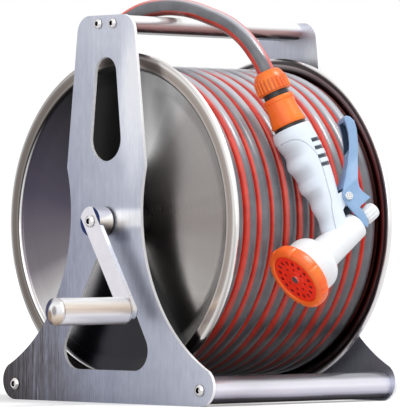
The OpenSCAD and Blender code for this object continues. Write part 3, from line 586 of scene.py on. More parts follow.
@dataclass(frozen=True)
class TurnedMetal(Finish):
    """Machined or polished metal with very fine tool marks."""

    name: str
    tint: Colour
    shade: Colour
    roughness: float = 0.24
    marks: float = 1.4
    edge: Optional[Colour] = None
    mark: Optional[Colour] = None
    rear: Optional[Colour] = None

    def paint(self, p: Paint) -> None:
        """Paints the metal, then its edges as a painted highlight, its rear side and its marked places as
        painted shade, where they differ.

        Args:
            p: The material's empty tree.
        """
        nx, ny, _ = p.facing()
        fine = p.noise(p.place((self.marks,) * 3), 1.0, 3.0, 0.6)
        cloud = p.noise(p.place(), 0.05, 2.0)
        colour = p.blend(p.band(fine * 0.5 + cloud * 0.5, 0.3, 0.7), self.shade, self.tint)
        # painted highlight on the edges
        if self.edge is not None:
            colour = p.blend(p.near(nx, 0.0, 0.3, 0.8), colour, self.edge)
        # painted shade on the side turned to +Y
        if self.rear is not None:
            colour = p.blend(p.band(ny, 0.04, 0.2), colour, self.rear)
        # painted shade in the marked places
        if self.mark is not None:
            colour = p.blend(p.kept("mark"), colour, self.mark)
        p.surface(colour, self.roughness + (fine - 0.5) * 0.14, 1.0, p.bump(fine, 0.02, 0.4))


@dataclass(frozen=True)
class MouldedPlastic(Finish):
    """Moulded plastic with a slight flow pattern and a fine texture."""

    name: str
    tint: Colour
    shade: Colour
    roughness: float = 0.38
    grain_mm: float = 0.7
    coat: float = 0.0
    mark: Optional[Colour] = None

    def paint(self, p: Paint) -> None:
        """Paints the plastic and its marked places, which hold painted shade and, on the handle, its dark
        seam.

        Args:
            p: The material's empty tree.
        """
        flow = p.noise(p.place(), 0.045, 3.0)
        fine = p.noise(p.place(), 1.0 / self.grain_mm, 2.0, 0.6)
        colour = p.blend(p.band(flow * 0.75 + fine * 0.25, 0.3, 0.7), self.shade, self.tint)
        # painted shade in the marked places, and the handle's dark seam
        if self.mark is not None:
            colour = p.blend(p.kept("mark"), colour, self.mark)
        p.surface(colour, self.roughness + (fine - 0.5) * 0.16, 0.0, p.bump(fine, 0.03, 0.35),
                  Coat_Weight=self.coat)


@dataclass(frozen=True)
class HoseSkin(Finish):
    """Woven grey hose with two stripes, placed by degrees from the middle of the tube's outer side."""

    name: str
    grey: Colour = (0.098, 0.098, 0.112)
    pale_grey: Colour = (0.16, 0.162, 0.182)
    stripe: Colour = (0.78, 0.062, 0.03)
    deep_stripe: Colour = (0.56, 0.026, 0.014)
    # painted highlight on the tops of the turns
    painted_top_highlight: Colour = (0.62, 0.64, 0.7)
    # painted shade under the turns and where they meet
    painted_shade: Colour = (0.012, 0.009, 0.01)
    stripe_at: float = 61.0
    stripe_half: float = 22.0
    threads_per_m: float = 2600.0
    free_after: float = 99.0

    def paint(self, p: Paint) -> None:
        """Paints stripes, a painted highlight on the tops of the turns, painted shade under the turns and
        where they meet, and the weave.

        Beyond free_after metres the hose lies against nothing: it has no painted shade where turns meet, and
        stripes on both sides.

        Args:
            p: The material's empty tree.
        """
        place = p.place()
        _, ny, nz = p.facing()
        along = p.kept("along")
        c, s, _ = p.split(p.kept("round", "Vector"))
        cosine = c / (c * c + s * s + 0.0001).root()
        degrees = (cosine * 0.999).angle() * (180.0 / math.pi)
        free = p.band(along, self.free_after, self.free_after + 0.03)
        folded = degrees - p.maths("MAXIMUM", degrees - 90.0, 0.0) * 2.0 * free
        wander = p.noise(p.joined(along * 3.0, 0.0, 0.0), 1.0, 1.0) - 0.5
        off = (folded - self.stripe_at + wander * 6.0).size()
        stripe = 1.0 - p.band(off, self.stripe_half - 2.0, self.stripe_half + 2.0)
        speck = p.noise(place, 1.6, 3.0, 0.6)
        dust = p.noise(place, 0.06, 3.0)
        grey = p.blend(p.band(speck * 0.35 + dust * 0.65, 0.3, 0.7), self.grey, self.pale_grey)
        red = p.blend(p.band(dust * 0.7 + speck * 0.3, 0.3, 0.7), self.deep_stripe, self.stripe)
        colour = p.blend(stripe, grey, red)
        # painted highlight on the tops of the turns
        above = p.band(nz - ny * 0.35, 0.62, 1.02) * (1.0 - p.band(folded, 46.0, 66.0))
        colour = p.blend(above * 0.75, colour, self.painted_top_highlight)
        # painted shade under the turns
        below = p.band(nz * -1.0, 0.15, 0.75) * 0.74
        colour = p.blend(below, colour, self.painted_shade)
        # painted shade where the turns meet
        colour = p.blend(p.band(degrees, 68.0, 98.0) * 0.85 * (1.0 - free), colour, self.painted_shade)
        weave = (along * self.threads_per_m).wave() * 0.5 + 0.5
        p.surface(colour, 0.34 + (speck - 0.5) * 0.2, 0.0, p.bump(weave * 0.35 + speck * 0.65, 0.06, 0.5),
                  Coat_Weight=0.45, Coat_Roughness=0.16)


class Slot(Enum):
    """The record's material slots, one passed along with each of the scene's own pieces."""

    DRUM = "drum_steel"
    GRIP = "grip_aluminium"
    SCREW = "screw_steel"
    HOSE = "hose"
    ORANGE = "orange_plastic"
    RED = "red_plastic"
    PALE_BLUE = "pale_blue_plastic"
    BLUE = "blue_plastic"
    WHITE = "white_plastic"


class Palette:
    """Every finish of the reel, each built once."""

    def __init__(self) -> None:
        """Builds the materials."""
        # True paints the hub's reflection and shadow; the two colours are the inner face's painted shade and
        # painted light
        self.crank_plate = PlateSteel("crank_plate_steel", True,
                                      ((0.035, 0.032, 0.038), (0.86, 0.85, 0.86))).material()
        self.inlet_plate = PlateSteel("inlet_plate_steel").material()
        # the bars' and the grip's tones are painted light, shade and reflection, from facing down at 0 to
        # facing up at 1
        self.carry_bar = RoundBar("carry_bar_aluminium", (
            (0.0, (0.02, 0.018, 0.02)), (0.14, (0.06, 0.045, 0.045)), (0.24, (0.38, 0.24, 0.23)),
            (0.46, (0.52, 0.34, 0.33)), (0.54, (0.64, 0.6, 0.62)), (0.66, (0.92, 0.915, 0.915)),
        )).material()
        self.bar = RoundBar("cross_bar_aluminium", (
            (0.0, (0.03, 0.025, 0.032)), (0.17, (0.06, 0.05, 0.066)), (0.24, (0.42, 0.42, 0.5)),
            (0.36, (0.7, 0.69, 0.79)), (0.55, (0.86, 0.85, 0.93)), (0.74, (0.72, 0.715, 0.78)),
            (0.84, (0.33, 0.33, 0.365)), (1.0, (0.26, 0.26, 0.29)))).material()
        self.grip = RoundBar("grip_aluminium", (
            (0.0, (0.1, 0.08, 0.08)), (0.05, (0.48, 0.44, 0.44)), (0.13, (0.96, 0.94, 0.98)),
            (0.36, (0.94, 0.925, 0.96)), (0.47, (0.7, 0.64, 0.62)), (0.58, (0.66, 0.56, 0.47)),
            (0.72, (0.86, 0.78, 0.7)), (0.84, (0.98, 0.97, 0.96))), 0.22, 0.5,
            lines_at=(-212.2, -136.2)).material()
        # the flanges' rim tones are painted reflection bands, from the dish's edge outwards
        self.crank_flange = FlangeSteel("crank_flange_steel", (
            (0.0, (0.04, 0.036, 0.038)), (0.1, (0.06, 0.052, 0.05)), (0.17, (0.5, 0.455, 0.43)),
            (0.34, (0.33, 0.28, 0.25)), (0.62, (0.4, 0.35, 0.32)), (0.74, (0.82, 0.8, 0.785)),
            (0.84, (0.6, 0.57, 0.55)), (0.94, (0.22, 0.19, 0.18)))).material()
        self.inlet_flange = FlangeSteel("inlet_flange_steel", (
            (0.0, (0.02, 0.017, 0.018)), (0.3, (0.03, 0.025, 0.027)), (0.42, (0.2, 0.165, 0.17)),
            (0.54, (0.34, 0.29, 0.3)), (0.62, (0.05, 0.042, 0.045)), (0.76, (0.11, 0.095, 0.1)),
            (0.86, (0.78, 0.76, 0.77)), (0.96, (0.88, 0.87, 0.88)))).material()
        self.hub = HubSteel("hub_steel").material()
        self.cap = CapSteel("cap_steel").material()
        self.drum = TurnedMetal("drum_steel", (0.52, 0.52, 0.54), (0.34, 0.34, 0.36), 0.35).material()
        # the crank's edge colour is a painted highlight
        self.crank = TurnedMetal("crank_steel", (0.84, 0.82, 0.87), (0.74, 0.725, 0.77), 0.28,
                                 edge=(0.96, 0.96, 0.96)).material()
        # the screw's mark and rear colours are painted shade in the sockets, under the heads and on the heads'
        # +Y side
        self.screw = TurnedMetal("screw_steel", (0.88, 0.86, 0.85), (0.66, 0.63, 0.62), 0.2, 3.0,
                                 mark=(0.022, 0.02, 0.022), rear=(0.075, 0.066, 0.09)).material()
        self.brass = TurnedMetal("brass", (0.72, 0.5, 0.2), (0.52, 0.33, 0.11), 0.28).material()
        # both hoses have a painted highlight on top and painted shade below
        self.hose = HoseSkin("hose_skin").material()
        self.free_hose = HoseSkin("free_hose_skin", free_after=1.37).material()
        plastic = MouldedPlastic
        self.inner = plastic("inner_turns", (0.15, 0.15, 0.16), (0.085, 0.085, 0.095), 0.5).material()
        self.rubber = plastic("seal_rubber", (0.03, 0.03, 0.032), (0.016, 0.016, 0.018), 0.6).material()
        self.black = plastic("black_plastic", (0.012, 0.012, 0.014), (0.005, 0.005, 0.006), 0.34,
                             coat=0.1).material()
        # the mark colours below are painted shade in recesses; the handle's also colours its dark seam
        self.orange = plastic("orange_plastic", (1.0, 0.225, 0.012), (0.96, 0.105, 0.006), 0.36,
                              coat=0.15, mark=(0.36, 0.024, 0.006)).material()
        self.dial = plastic("dial_orange", (1.0, 0.215, 0.03), (0.98, 0.125, 0.012), 0.38,
                            coat=0.1, mark=(0.35, 0.02, 0.01)).material()
        self.red = plastic("face_red", (1.0, 0.042, 0.01), (0.96, 0.026, 0.006), 0.4,
                           coat=0.05, mark=(0.27, 0.006, 0.004)).material()
        self.pale_blue = plastic("handle_pale_blue", (0.78, 0.85, 0.93), (0.73, 0.805, 0.9), 0.42,
                                 mark=(0.045, 0.055, 0.07)).material()
        self.blue = plastic("lever_blue", (0.27, 0.42, 0.64), (0.22, 0.365, 0.585), 0.36,
                            coat=0.15, mark=(0.012, 0.02, 0.036)).material()
        self.white = plastic("white_plastic", (0.86, 0.88, 0.9), (0.8, 0.825, 0.85), 0.32,
                             coat=0.2, mark=(0.24, 0.25, 0.28)).material()


# -------------------------------------------------------------------- shapes


@contextmanager
def edited(mesh: Mesh, sharp: float) -> Iterator[bmesh.types.BMesh]:
    """Opens a mesh, then turns its faces outwards and shades it smooth.

    Args:
        mesh: The mesh.
        sharp: Edges that bend more than this many degrees stay crisp.

    Yields:
        The open mesh.
    """
    bm = bmesh.new()
    bm.from_mesh(mesh)
    yield bm
    bmesh.ops.recalc_face_normals(bm, faces=bm.faces)
    bm.to_mesh(mesh)
    bm.free()
    mesh.shade_smooth()
    mesh.set_sharp_from_angle(angle=math.radians(sharp))


def linked(name: str, data: ID) -> Object:
    """Adds an object to the scene.

    Args:
        name: The object's name.
        data: Its camera, lamp or mesh.

    Returns:
        The object.
    """
    item = bpy.data.objects.new(name, data)
    bpy.context.scene.collection.objects.link(item)
    return item


def finished(name: str, mesh: Mesh, material: Material, body: str,
             node: str) -> Object:
    """Makes a piece of a mesh, dressed and riding on its body.

    Args:
        name: The piece's name.
        mesh: Its mesh in the part's own frame.
        material: Its finish.
        body: The body that it rides on.
        node: The node that it replaces.

    Returns:
        The piece.
    """
    mesh.materials.clear()
    mesh.materials.append(material)
    piece = linked(name, mesh)
    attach(piece, body)
    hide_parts(node)
    log.info("%s: %d faces on %s", name, len(mesh.polygons), body)
    return piece


class Shape:
    """Points and faces of one piece in millimetres, with a mark from 0 to 1 on each point."""

    def __init__(self) -> None:
        """Starts empty."""
        self.points = np.zeros((0, 3))
        self.faces: List[Tuple[int, ...]] = []
        self.marks = np.zeros(0)

    def grid(self, rings: Array, marks: Optional[Array] = None, capped: bool = True) -> "Shape":
        """Adds a tube of rings, closed round.

        Args:
            rings: Points as (rings, points in a ring, 3).
            marks: Mark of each point.
            capped: Whether both ends get a face.

        Returns:
            This shape.
        """
        n, m, _ = rings.shape
        base = len(self.points)
        self.points = np.vstack([self.points, rings.reshape(-1, 3)])
        self.marks = np.concatenate([self.marks, np.zeros(n * m) if marks is None else marks.reshape(-1)])
        for i in range(n - 1):
            for k in range(m):
                a, b = base + i * m + k, base + i * m + (k + 1) % m
                self.faces.append((a, b, b + m, a + m))
        if capped:
            self.faces.append(tuple(base + k for k in reversed(range(m))))
            self.faces.append(tuple(base + (n - 1) * m + k for k in range(m)))
        return self

    @staticmethod
    def of(mesh: Mesh) -> "Shape":
        """Takes a mesh in metres back as a shape.

        Args:
            mesh: The mesh, which keeps its marks under the name mark.

        Returns:
            The shape.
        """
        out = Shape()
        points = np.zeros(len(mesh.vertices) * 3)
        mesh.vertices.foreach_get("co", points)
        out.points = points.reshape(-1, 3) / MM
        out.faces = [tuple(f.vertices) for f in mesh.polygons]
        out.marks = np.zeros(len(out.points))
        mesh.attributes["mark"].data.foreach_get("value", out.marks)
        return out

    def moved(self, matrix: Matrix) -> "Shape":
        """Carries the points by a matrix in millimetres."""
        m = np.array(matrix)
        self.points = self.points @ m[:3, :3].T + m[:3, 3]
        return self

    def with_other(self, other: "Shape") -> "Shape":
        """Adds another shape's points and faces.

        Args:
            other: The other shape.

        Returns:
            This shape.
        """
        base = len(self.points)
        self.points = np.vstack([self.points, other.points])
        self.marks = np.concatenate([self.marks, other.marks])
        self.faces += [tuple(base + i for i in f) for f in other.faces]
        return self

    def mesh(self, name: str, sharp: float = 35.0) -> Mesh:
        """Makes a closed, outward mesh in metres.

        Args:
            name: The mesh's name.
            sharp: Edges that bend more than this many degrees stay crisp.

        Returns:
            The mesh.
        """
        mesh = bpy.data.meshes.new(name)
        mesh.from_pydata((self.points * MM).tolist(), [], self.faces)
        mark = mesh.attributes.new("mark", "FLOAT", "POINT")
        mark.data.foreach_set("value", self.marks.astype(np.float32))
        with edited(mesh, sharp) as bm:
            bmesh.ops.remove_doubles(bm, verts=bm.verts, dist=2e-6)
            bmesh.ops.dissolve_degenerate(bm, edges=bm.edges, dist=1e-7)
        return mesh

    def piece(self, name: str, material: Material, body: str, slot: Slot, node: str,
              sharp: float = 35.0) -> Object:
        """Makes the piece of this shape; see finished and mesh for what the values say."""
        return finished(name, self.mesh(name, sharp), material, body, node)


def placed(at: Triple, turn: Triple = (0.0, 0.0, 0.0)) -> Matrix:
    """Matrix of a place in millimetres and turns about X, Y and Z in degrees, X first."""
    rx, ry, rz = (Matrix.Rotation(math.radians(a), 4, axis) for a, axis in zip(turn, "XYZ"))
    return Matrix.Translation(Vector(at)) @ rz @ ry @ rx


def rounded_step(t: Array) -> Array:
    """Smooth step from 0 to 1."""
    return t * t * (3 - 2 * t)


def softened(profile: Sequence[Triple], steps: int = 5) -> List[Pair]:
    """Rounds the corners of a turned profile.

    Args:
        profile: Radius, height and corner radius of each point.
        steps: Pieces of each rounded corner.

    Returns:
        The profile's points as radius and height.
    """
    points: List[Pair] = []
    last = len(profile) - 1
    for i, (r, z, soft) in enumerate(profile):
        if i in (0, last) or soft <= 0:
            points.append((r, z))
            continue
        here = np.array([r, z])
        before = np.array(profile[i - 1][:2]) - here
        after = np.array(profile[i + 1][:2]) - here
        cut = min(soft, 0.48 * np.linalg.norm(before), 0.48 * np.linalg.norm(after))
        start = here + before / np.linalg.norm(before) * cut
        end = here + after / np.linalg.norm(after) * cut
        for t in np.linspace(0, 1, steps):
            q = (1 - t) ** 2 * start + 2 * t * (1 - t) * here + t * t * end
            points.append((float(q[0]), float(q[1])))
    return points


def turned(profile: Sequence[Pair], around: int = 96, relief: Optional[Relief] = None,
           mark: Optional[Relief] = None) -> Shape:
    """Turns a profile about Z.

    Args:
        profile: Radius and height points, closed on the axis or on itself.
        around: Points round the axis.
        relief: Adds to the radius, from angle, height and radius.
        mark: Mark of each point, from angle, height and radius.

    Returns:
        The shape.
    """
    closed = profile[0] == profile[-1]
    angle = np.linspace(0, 2 * np.pi, around, endpoint=False)
    radius, height = (np.array(column)[:, None] + 0 * angle[None] for column in zip(*profile))
    a = angle[None] + 0 * radius
    marks = mark(a, height, radius) if mark else None
    if relief:
        radius = radius + relief(a, height, radius) * (radius > 0.5)
    rings = np.stack([radius * np.cos(a), radius * np.sin(a), height], axis=2)
    return Shape().grid(rings, marks, capped=not closed and profile[0][0] > 0)


def within(share: float, radii: Pair, heights: Pair) -> Relief:
    """Makes the mark of a turned shape's points between two radii and two heights.

    Args:
        share: How strong the mark is.
        radii: The two radii.
        heights: The two heights.

    Returns:
        The mark.
    """
    def mark(_: Array, z: Array, r: Array) -> Array:
        """Marks the points."""
        return share * ((r > radii[0]) & (r < radii[1]) & (z > heights[0]) & (z < heights[1]))
    return mark


def finer(profile: Sequence[Pair], step: float) -> List[Pair]:
    """Adds points to a profile.

    Args:
        profile: Radius and height points.
        step: The furthest that two points may be apart.

    Returns:
        The finer profile.
    """
    points = [profile[0]]
    for a, b in zip(profile, profile[1:]):
        n = max(1, math.ceil(math.dist(a, b) / step))
        points += [(a[0] + (b[0] - a[0]) * k / n, a[1] + (b[1] - a[1]) * k / n) for k in range(1, n + 1)]
    return points


def smooth_path(points: Array, step: float) -> Array:
    """Draws a smooth curve through points.

    Args:
        points: The points.
        step: About how far its samples are apart.

    Returns:
        The samples.
    """
    ends = np.vstack([2 * points[0] - points[1], points, 2 * points[-1] - points[-2]])
    out = []
    for i in range(1, len(ends) - 2):
        a, b, c, d = ends[i - 1:i + 3]
        n = max(1, round(float(np.linalg.norm(c - b)) / step))
        for t in np.arange(n)[:, None] / n:
            out.append(0.5 * (2 * b + (c - a) * t + (2 * a - 5 * b + 4 * c - d) * t ** 2
                              + (3 * b - a - 3 * c + d) * t ** 3))
    out.append(points[-1])
    return np.array(out)


def directions(points: Array) -> Array:
    """Direction of a path at each point."""
    tangent = np.gradient(points, axis=0)
    return tangent / np.linalg.norm(tangent, axis=1)[:, None]


def squared_to(tangent: Array, out: Array) -> Array:
    """Directions made square to a path's own, one unit long."""
    out = out - tangent * (out * tangent).sum(1)[:, None]
    return out / np.linalg.norm(out, axis=1)[:, None]


def bar_shape(x: float, y: float, z: float, soft: float) -> Shape:
    """Makes a small bar with rounded edges, centred in X and Y and standing on Z = 0.

    Args:
        x: Its size along X.
        y: Its size along Y.
        z: Its height.
        soft: How much its edges are rounded.

    Returns:
        The bar.
    """
    mx, my = x / 2, y / 2
    corners = [(mx - soft, -my), (mx, -my + soft), (mx, my - soft), (mx - soft, my), (-mx, my), (-mx, -my)]
    rings = [[(cx - math.copysign(shrink, cx), cy - math.copysign(shrink, cy), height) for cx, cy in corners]
             for height, shrink in ((0.0, soft), (soft, 0.0), (z - soft, 0.0), (z, soft))]
    return Shape().grid(np.array(rings))


# ------------------------------------------------------------ geometry nodes


class GeometryTree(Graph):
    """A geometry tree with named inputs that a plain mesh is made from."""

    def __init__(self, name: str, **sizes: str) -> None:
        """Makes the group with its inputs.

        Args:
            name: The group's name.
            **sizes: Kind of each input by name.
        """
        super().__init__(bpy.data.node_groups.new(name, "GeometryNodeTree"))
        face = self.tree.interface
        for key, kind in {"Geometry": "Geometry", **sizes, "Material": "Material"}.items():
            face.new_socket(key, in_out="INPUT", socket_type="NodeSocket" + kind)
        face.new_socket("Geometry", in_out="OUTPUT", socket_type="NodeSocketGeometry")
        self.input = self.add("NodeGroupInput")
        self.output = self.add("NodeGroupOutput")

    def given(self, key: str) -> Wire:
        """An input of the group."""
        return self.out(self.input, key)

    def keep(self, geometry: Wire, name: str, kind: str, value: Wire) -> Wire:
        """Keeps a value on each point.

        Args:
            geometry: The curve.
            name: The name that it is kept under.
            kind: What kind of value it is.
            value: The value.

        Returns:
            The curve with the value.
        """
        return self.wire("GeometryNodeStoreNamedAttribute",
                         {"Geometry": geometry, "Name": name, "Value": value}, data_type=kind, domain="POINT")

    def end(self, geometry: Wire) -> None:
        """Realizes the instances, sets the material and joins the output."""
        real = self.wire("GeometryNodeRealizeInstances", {"Geometry": geometry})
        done = self.wire("GeometryNodeSetMaterial", {"Geometry": real, "Material": self.given("Material")})
        self.tree.links.new(done.socket, self.output.inputs[0])

    def run(self, source: Mesh, **values: object) -> Mesh:
        """Evaluates the tree on a mesh.

        Args:
            source: The mesh that goes in.
            **values: Values of the named inputs.

        Returns:
            The result as a plain mesh.
        """
        holder = linked("holder", source)
        modifier = holder.modifiers.new("tree", "NODES")
        modifier.node_group = self.tree
        for item in self.tree.interface.items_tree:
            if item.in_out == "INPUT" and item.name in values:
                modifier[item.identifier] = values[item.name]
        holder.update_tag()
        bpy.context.view_layer.update()
        mesh = bpy.data.meshes.new_from_object(holder.evaluated_get(bpy.context.evaluated_depsgraph_get()))
        holder.modifiers.remove(modifier)
        bpy.data.objects.remove(holder)
        return mesh


class SweptHose(GeometryTree):
    """Sweeps a round hose along a path and keeps where round and along it each point is."""

    ROUND_SCALE = 129.0

    def __init__(self) -> None:
        """Builds the tree."""
        super().__init__("swept_hose", Radius="Float", Sides="Int")
        line = self.wire("GeometryNodeMeshToCurve", {"Mesh": self.given("Geometry")})
        outward = self.wire("GeometryNodeInputNamedAttribute", {"Name": "outward"}, "Attribute",
                            data_type="FLOAT_VECTOR")
        line = self.wire("GeometryNodeSetCurveNormal", {"Curve": line, "Normal": outward}, mode="FREE")
        line = self.keep(line, "along", "FLOAT", self.wire("GeometryNodeSplineParameter", None, "Length"))
        ring = self.wire("GeometryNodeCurvePrimitiveCircle",
                         {"Resolution": self.given("Sides"), "Radius": self.given("Radius")}, mode="RADIUS")
        local = self.product(self.wire("GeometryNodeInputPosition"), (self.ROUND_SCALE,) * 3)
        ring = self.keep(ring, "round", "FLOAT_VECTOR", local)
        self.end(self.wire("GeometryNodeCurveToMesh",
                           {"Curve": line, "Profile Curve": ring, "Fill Caps": True}))

    def hose(self, name: str, path: Array, outward: Array, radius: float, sides: int,
             material: Material) -> Mesh:
        """Makes the tube of one path.

        Args:
            name: The mesh's name.
            path: Centreline points in millimetres.
            outward: Direction of the stripes' middle at each point.
            radius: Outer radius in millimetres.
            sides: Points round the tube.
            material: The finish.

        Returns:
            The tube's mesh.
        """
        line = bpy.data.meshes.new(name)
        line.from_pydata((path * MM).tolist(), [(i, i + 1) for i in range(len(path) - 1)], [])
        kept = line.attributes.new("outward", "FLOAT_VECTOR", "POINT")
        kept.data.foreach_set("vector", outward.astype(np.float32).ravel())
        mesh = self.run(line, Radius=radius * MM, Sides=sides, Material=material)
        mesh.name = name
        with edited(mesh, 60):
            pass
        return mesh


class CopiedPart(GeometryTree):
    """Sets copies of a small part on points; each kind lays the points out in its own way."""

    def set_on(self, points: Wire, **turn: Wire) -> None:
        """Ends the tree with a copy on each point."""
        self.end(self.wire("GeometryNodeInstanceOnPoints",
                           {"Points": points, "Instance": self.given("Geometry"), **turn}))

    def copied(self, part: Shape, material: Material, **layout: object) -> Shape:
        """The copies as a shape in millimetres, marks kept."""
        return Shape.of(self.run(part.mesh("part"), Material=material, **layout))


class RingOfParts(CopiedPart):
    """Sets copies of a small part in a ring about Z, each turned outwards."""

    def __init__(self) -> None:
        """Builds the tree."""
        super().__init__("ring_of_parts", Count="Int", Radius="Float")
        circle = self.wire("GeometryNodeMeshCircle",
                           {"Vertices": self.given("Count"), "Radius": self.given("Radius")})
        place = self.wire("GeometryNodeInputPosition")
        turn = self.wire("FunctionNodeAlignRotationToVector", {"Vector": place}, axis="X")
        self.set_on(circle, Rotation=turn)

    def ring(self, part: Shape, count: int, radius: float, material: Material) -> Shape:
        """Makes the ring.

        Args:
            part: The small part, in millimetres, with its X pointing outwards.
            count: How many copies.
            radius: Radius of the ring in millimetres.
            material: The finish.

        Returns:
            The copies.
        """
        return self.copied(part, material, Count=count, Radius=radius * MM)


class RowOfParts(CopiedPart):
    """Sets copies of a small part in a row along X, centred on the axis."""

    def __init__(self) -> None:
        """Builds the tree."""
        super().__init__("row_of_parts", Count="Int", Start="Vector", Step="Vector")
        places = {"Count": self.given("Count"), "Start Location": self.given("Start"),
                  "Offset": self.given("Step")}
        self.set_on(self.wire("GeometryNodeMeshLine", places, mode="OFFSET"))

    def row(self, part: Shape, count: int, step: float, material: Material) -> Shape:
        """Makes the row.

        Args:
            part: The small part, in millimetres.
            count: How many copies.
            step: Distance between them in millimetres.
            material: The finish.

        Returns:
            The copies.
        """
        start = -0.5 * step * (count - 1) * MM
        return self.copied(part, material, Count=count, Start=(start, 0.0, 0.0), Step=(step * MM, 0.0, 0.0))


# ------------------------------------------------------------- sub-assemblies


@dataclass
class Studio:
    """Camera, lamps, world and floor. A lamp has its name, aim, strength and spread in degrees."""

    camera_at: Triple = (-2.6105, -2.8004, 0.1394)
    azimuth: float = 47.0
    rise: float = 0.0096
    roll: float = 0.0009
    lens: float = 375.5
    sensor_w: float = 36.0
    clip: Pair = (0.5, 60.0)
    sky: float = 0.5
    lamps: Tuple[Tuple[str, Triple, float, float], ...] = (
        ("key", (-0.25, 0.45, -0.86), 1.9, 22.0), ("fill", (0.72, 0.52, -0.46), 0.85, 60.0))
    floor_half: float = 18.0
    floor_tones: Tuple[Colour, Colour] = ((0.74, 0.74, 0.75), (0.76, 0.76, 0.765))
    floor_glow: float = 0.35

    def build(self) -> None:
        """Builds the whole studio."""
        bpy.context.scene.view_settings.view_transform = "Standard"
        self._camera()
        self._world()
        self._lamps()
        self._floor()
        log.info("studio: camera, world, lamps and floor")

    def _camera(self) -> None:
        """Sets the camera at the photograph's viewing angle."""
        data = bpy.data.cameras.new("camera")
        data.lens = self.lens
        data.sensor_width = self.sensor_w
        data.clip_start, data.clip_end = self.clip
        camera = linked("camera", data)
        a = math.radians(self.azimuth)
        look = Vector((math.cos(a), math.sin(a), self.rise))
        turn = look.to_track_quat("-Z", "Y").to_matrix().to_4x4()
        camera.matrix_world = (Matrix.Translation(Vector(self.camera_at)) @ turn
                               @ Matrix.Rotation(self.roll, 4, "Z"))
        bpy.context.scene.camera = camera

    def _world(self) -> None:
        """Sets a plain white surround, dimmer where it lights than where it is seen."""
        world = bpy.data.worlds.new("surround")
        bpy.context.scene.world = world
        world.use_nodes = True
        g = Graph(world.node_tree)
        g.tree.nodes.clear()
        path = g.add("ShaderNodeLightPath")
        camera, glossy, through = (g.out(path, f"Is {kind} Ray")
                                   for kind in ("Camera", "Glossy", "Transmission"))
        seen = g.maths("MAXIMUM", camera, g.maths("MAXIMUM", glossy, through))
        strength = self.sky + seen * (1.0 - self.sky)
        shine = g.wire("ShaderNodeBackground", {"Color": (1, 1, 1, 1), "Strength": strength})
        g.add("ShaderNodeOutputWorld", {"Surface": shine})

    def _lamps(self) -> None:
        """Sets one soft key from the upper right and a broad fill from the left."""
        for name, aim, strength, spread in self.lamps:
            data = bpy.data.lights.new(name, "SUN")
            data.energy = strength
            data.angle = math.radians(spread)
            lamp = linked(name, data)
            lamp.rotation_mode = "QUATERNION"
            lamp.rotation_quaternion = Vector(aim).to_track_quat("-Z", "Y")

    def _floor(self) -> None:
        """Lays a plain pale floor that keeps the reel's shadow."""
        mesh = bpy.data.meshes.new("floor")
        half = self.floor_half
        corners = [(-half, -half, 0), (half, -half, 0), (half, half, 0), (-half, half, 0)]
        mesh.from_pydata(corners, [], [(0, 1, 2, 3)])
        floor = linked("floor", mesh)
        p = Paint("floor")
        colour = p.blend(p.noise(p.place(), 0.004, 2.0), *self.floor_tones)
        seen = p.wire("ShaderNodeLightPath", None, "Is Camera Ray")
        matt = p.wire("ShaderNodeBsdfDiffuse", {"Color": colour})
        glow = p.wire("ShaderNodeEmission", {"Color": (1, 1, 1, 1), "Strength": seen * self.floor_glow})
        p.add("ShaderNodeOutputMaterial", {"Surface": p.wire("ShaderNodeAddShader", {0: matt, 1: glow})})
        mesh.materials.append(p.material)
        floor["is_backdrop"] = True


@dataclass
class Flange:
    """Dished flange of spun sheet: a flat disc, a gentle rise, a steep wall and a rolled rim."""

    hole_r: float
    side: int
    inner_x: float = 88.85
    sheet: float = 1.2
    front: Tuple[Triple, ...] = (
        (123.0, 1.2, 3.0), (127.0, 1.9, 3.0), (134.6, 3.9, 1.0), (136.3, 6.9, 0.5), (137.6, 7.6, 0.7),
        (146.9, 7.6, 1.6), (149.4, 6.2, 1.5), (150.0, 4.4, 1.2), (149.0, 2.4, 1.2), (146.5, 1.5, 1.0))
    back: Tuple[Triple, ...] = (
        (139.2, 1.5, 0.5), (136.8, 2.6, 0.8), (134.8, 2.2, 1.0), (126.0, 0.2, 1.0), (122.0, 0.0, 0.5))

    def build(self, name: str, node: str, material: Material) -> None:
        """Builds the flange on its side of the drum.

        Args:
            name: The piece's name.
            node: The node that it stands for.
            material: Its finish.
        """
        profile = [(self.hole_r, self.sheet, 0.0), *self.front, *self.back, (self.hole_r, 0.0, 0.0)]
        points = finer(softened(profile, 7), 4.0)
        shape = turned(points + [points[0]], 240)
        shape.moved(placed((self.side * self.inner_x, 0, AXLE_Z), (0, self.side * 90, 0)))
        shape.piece(name, material, "drum", Slot.DRUM, node, 24)


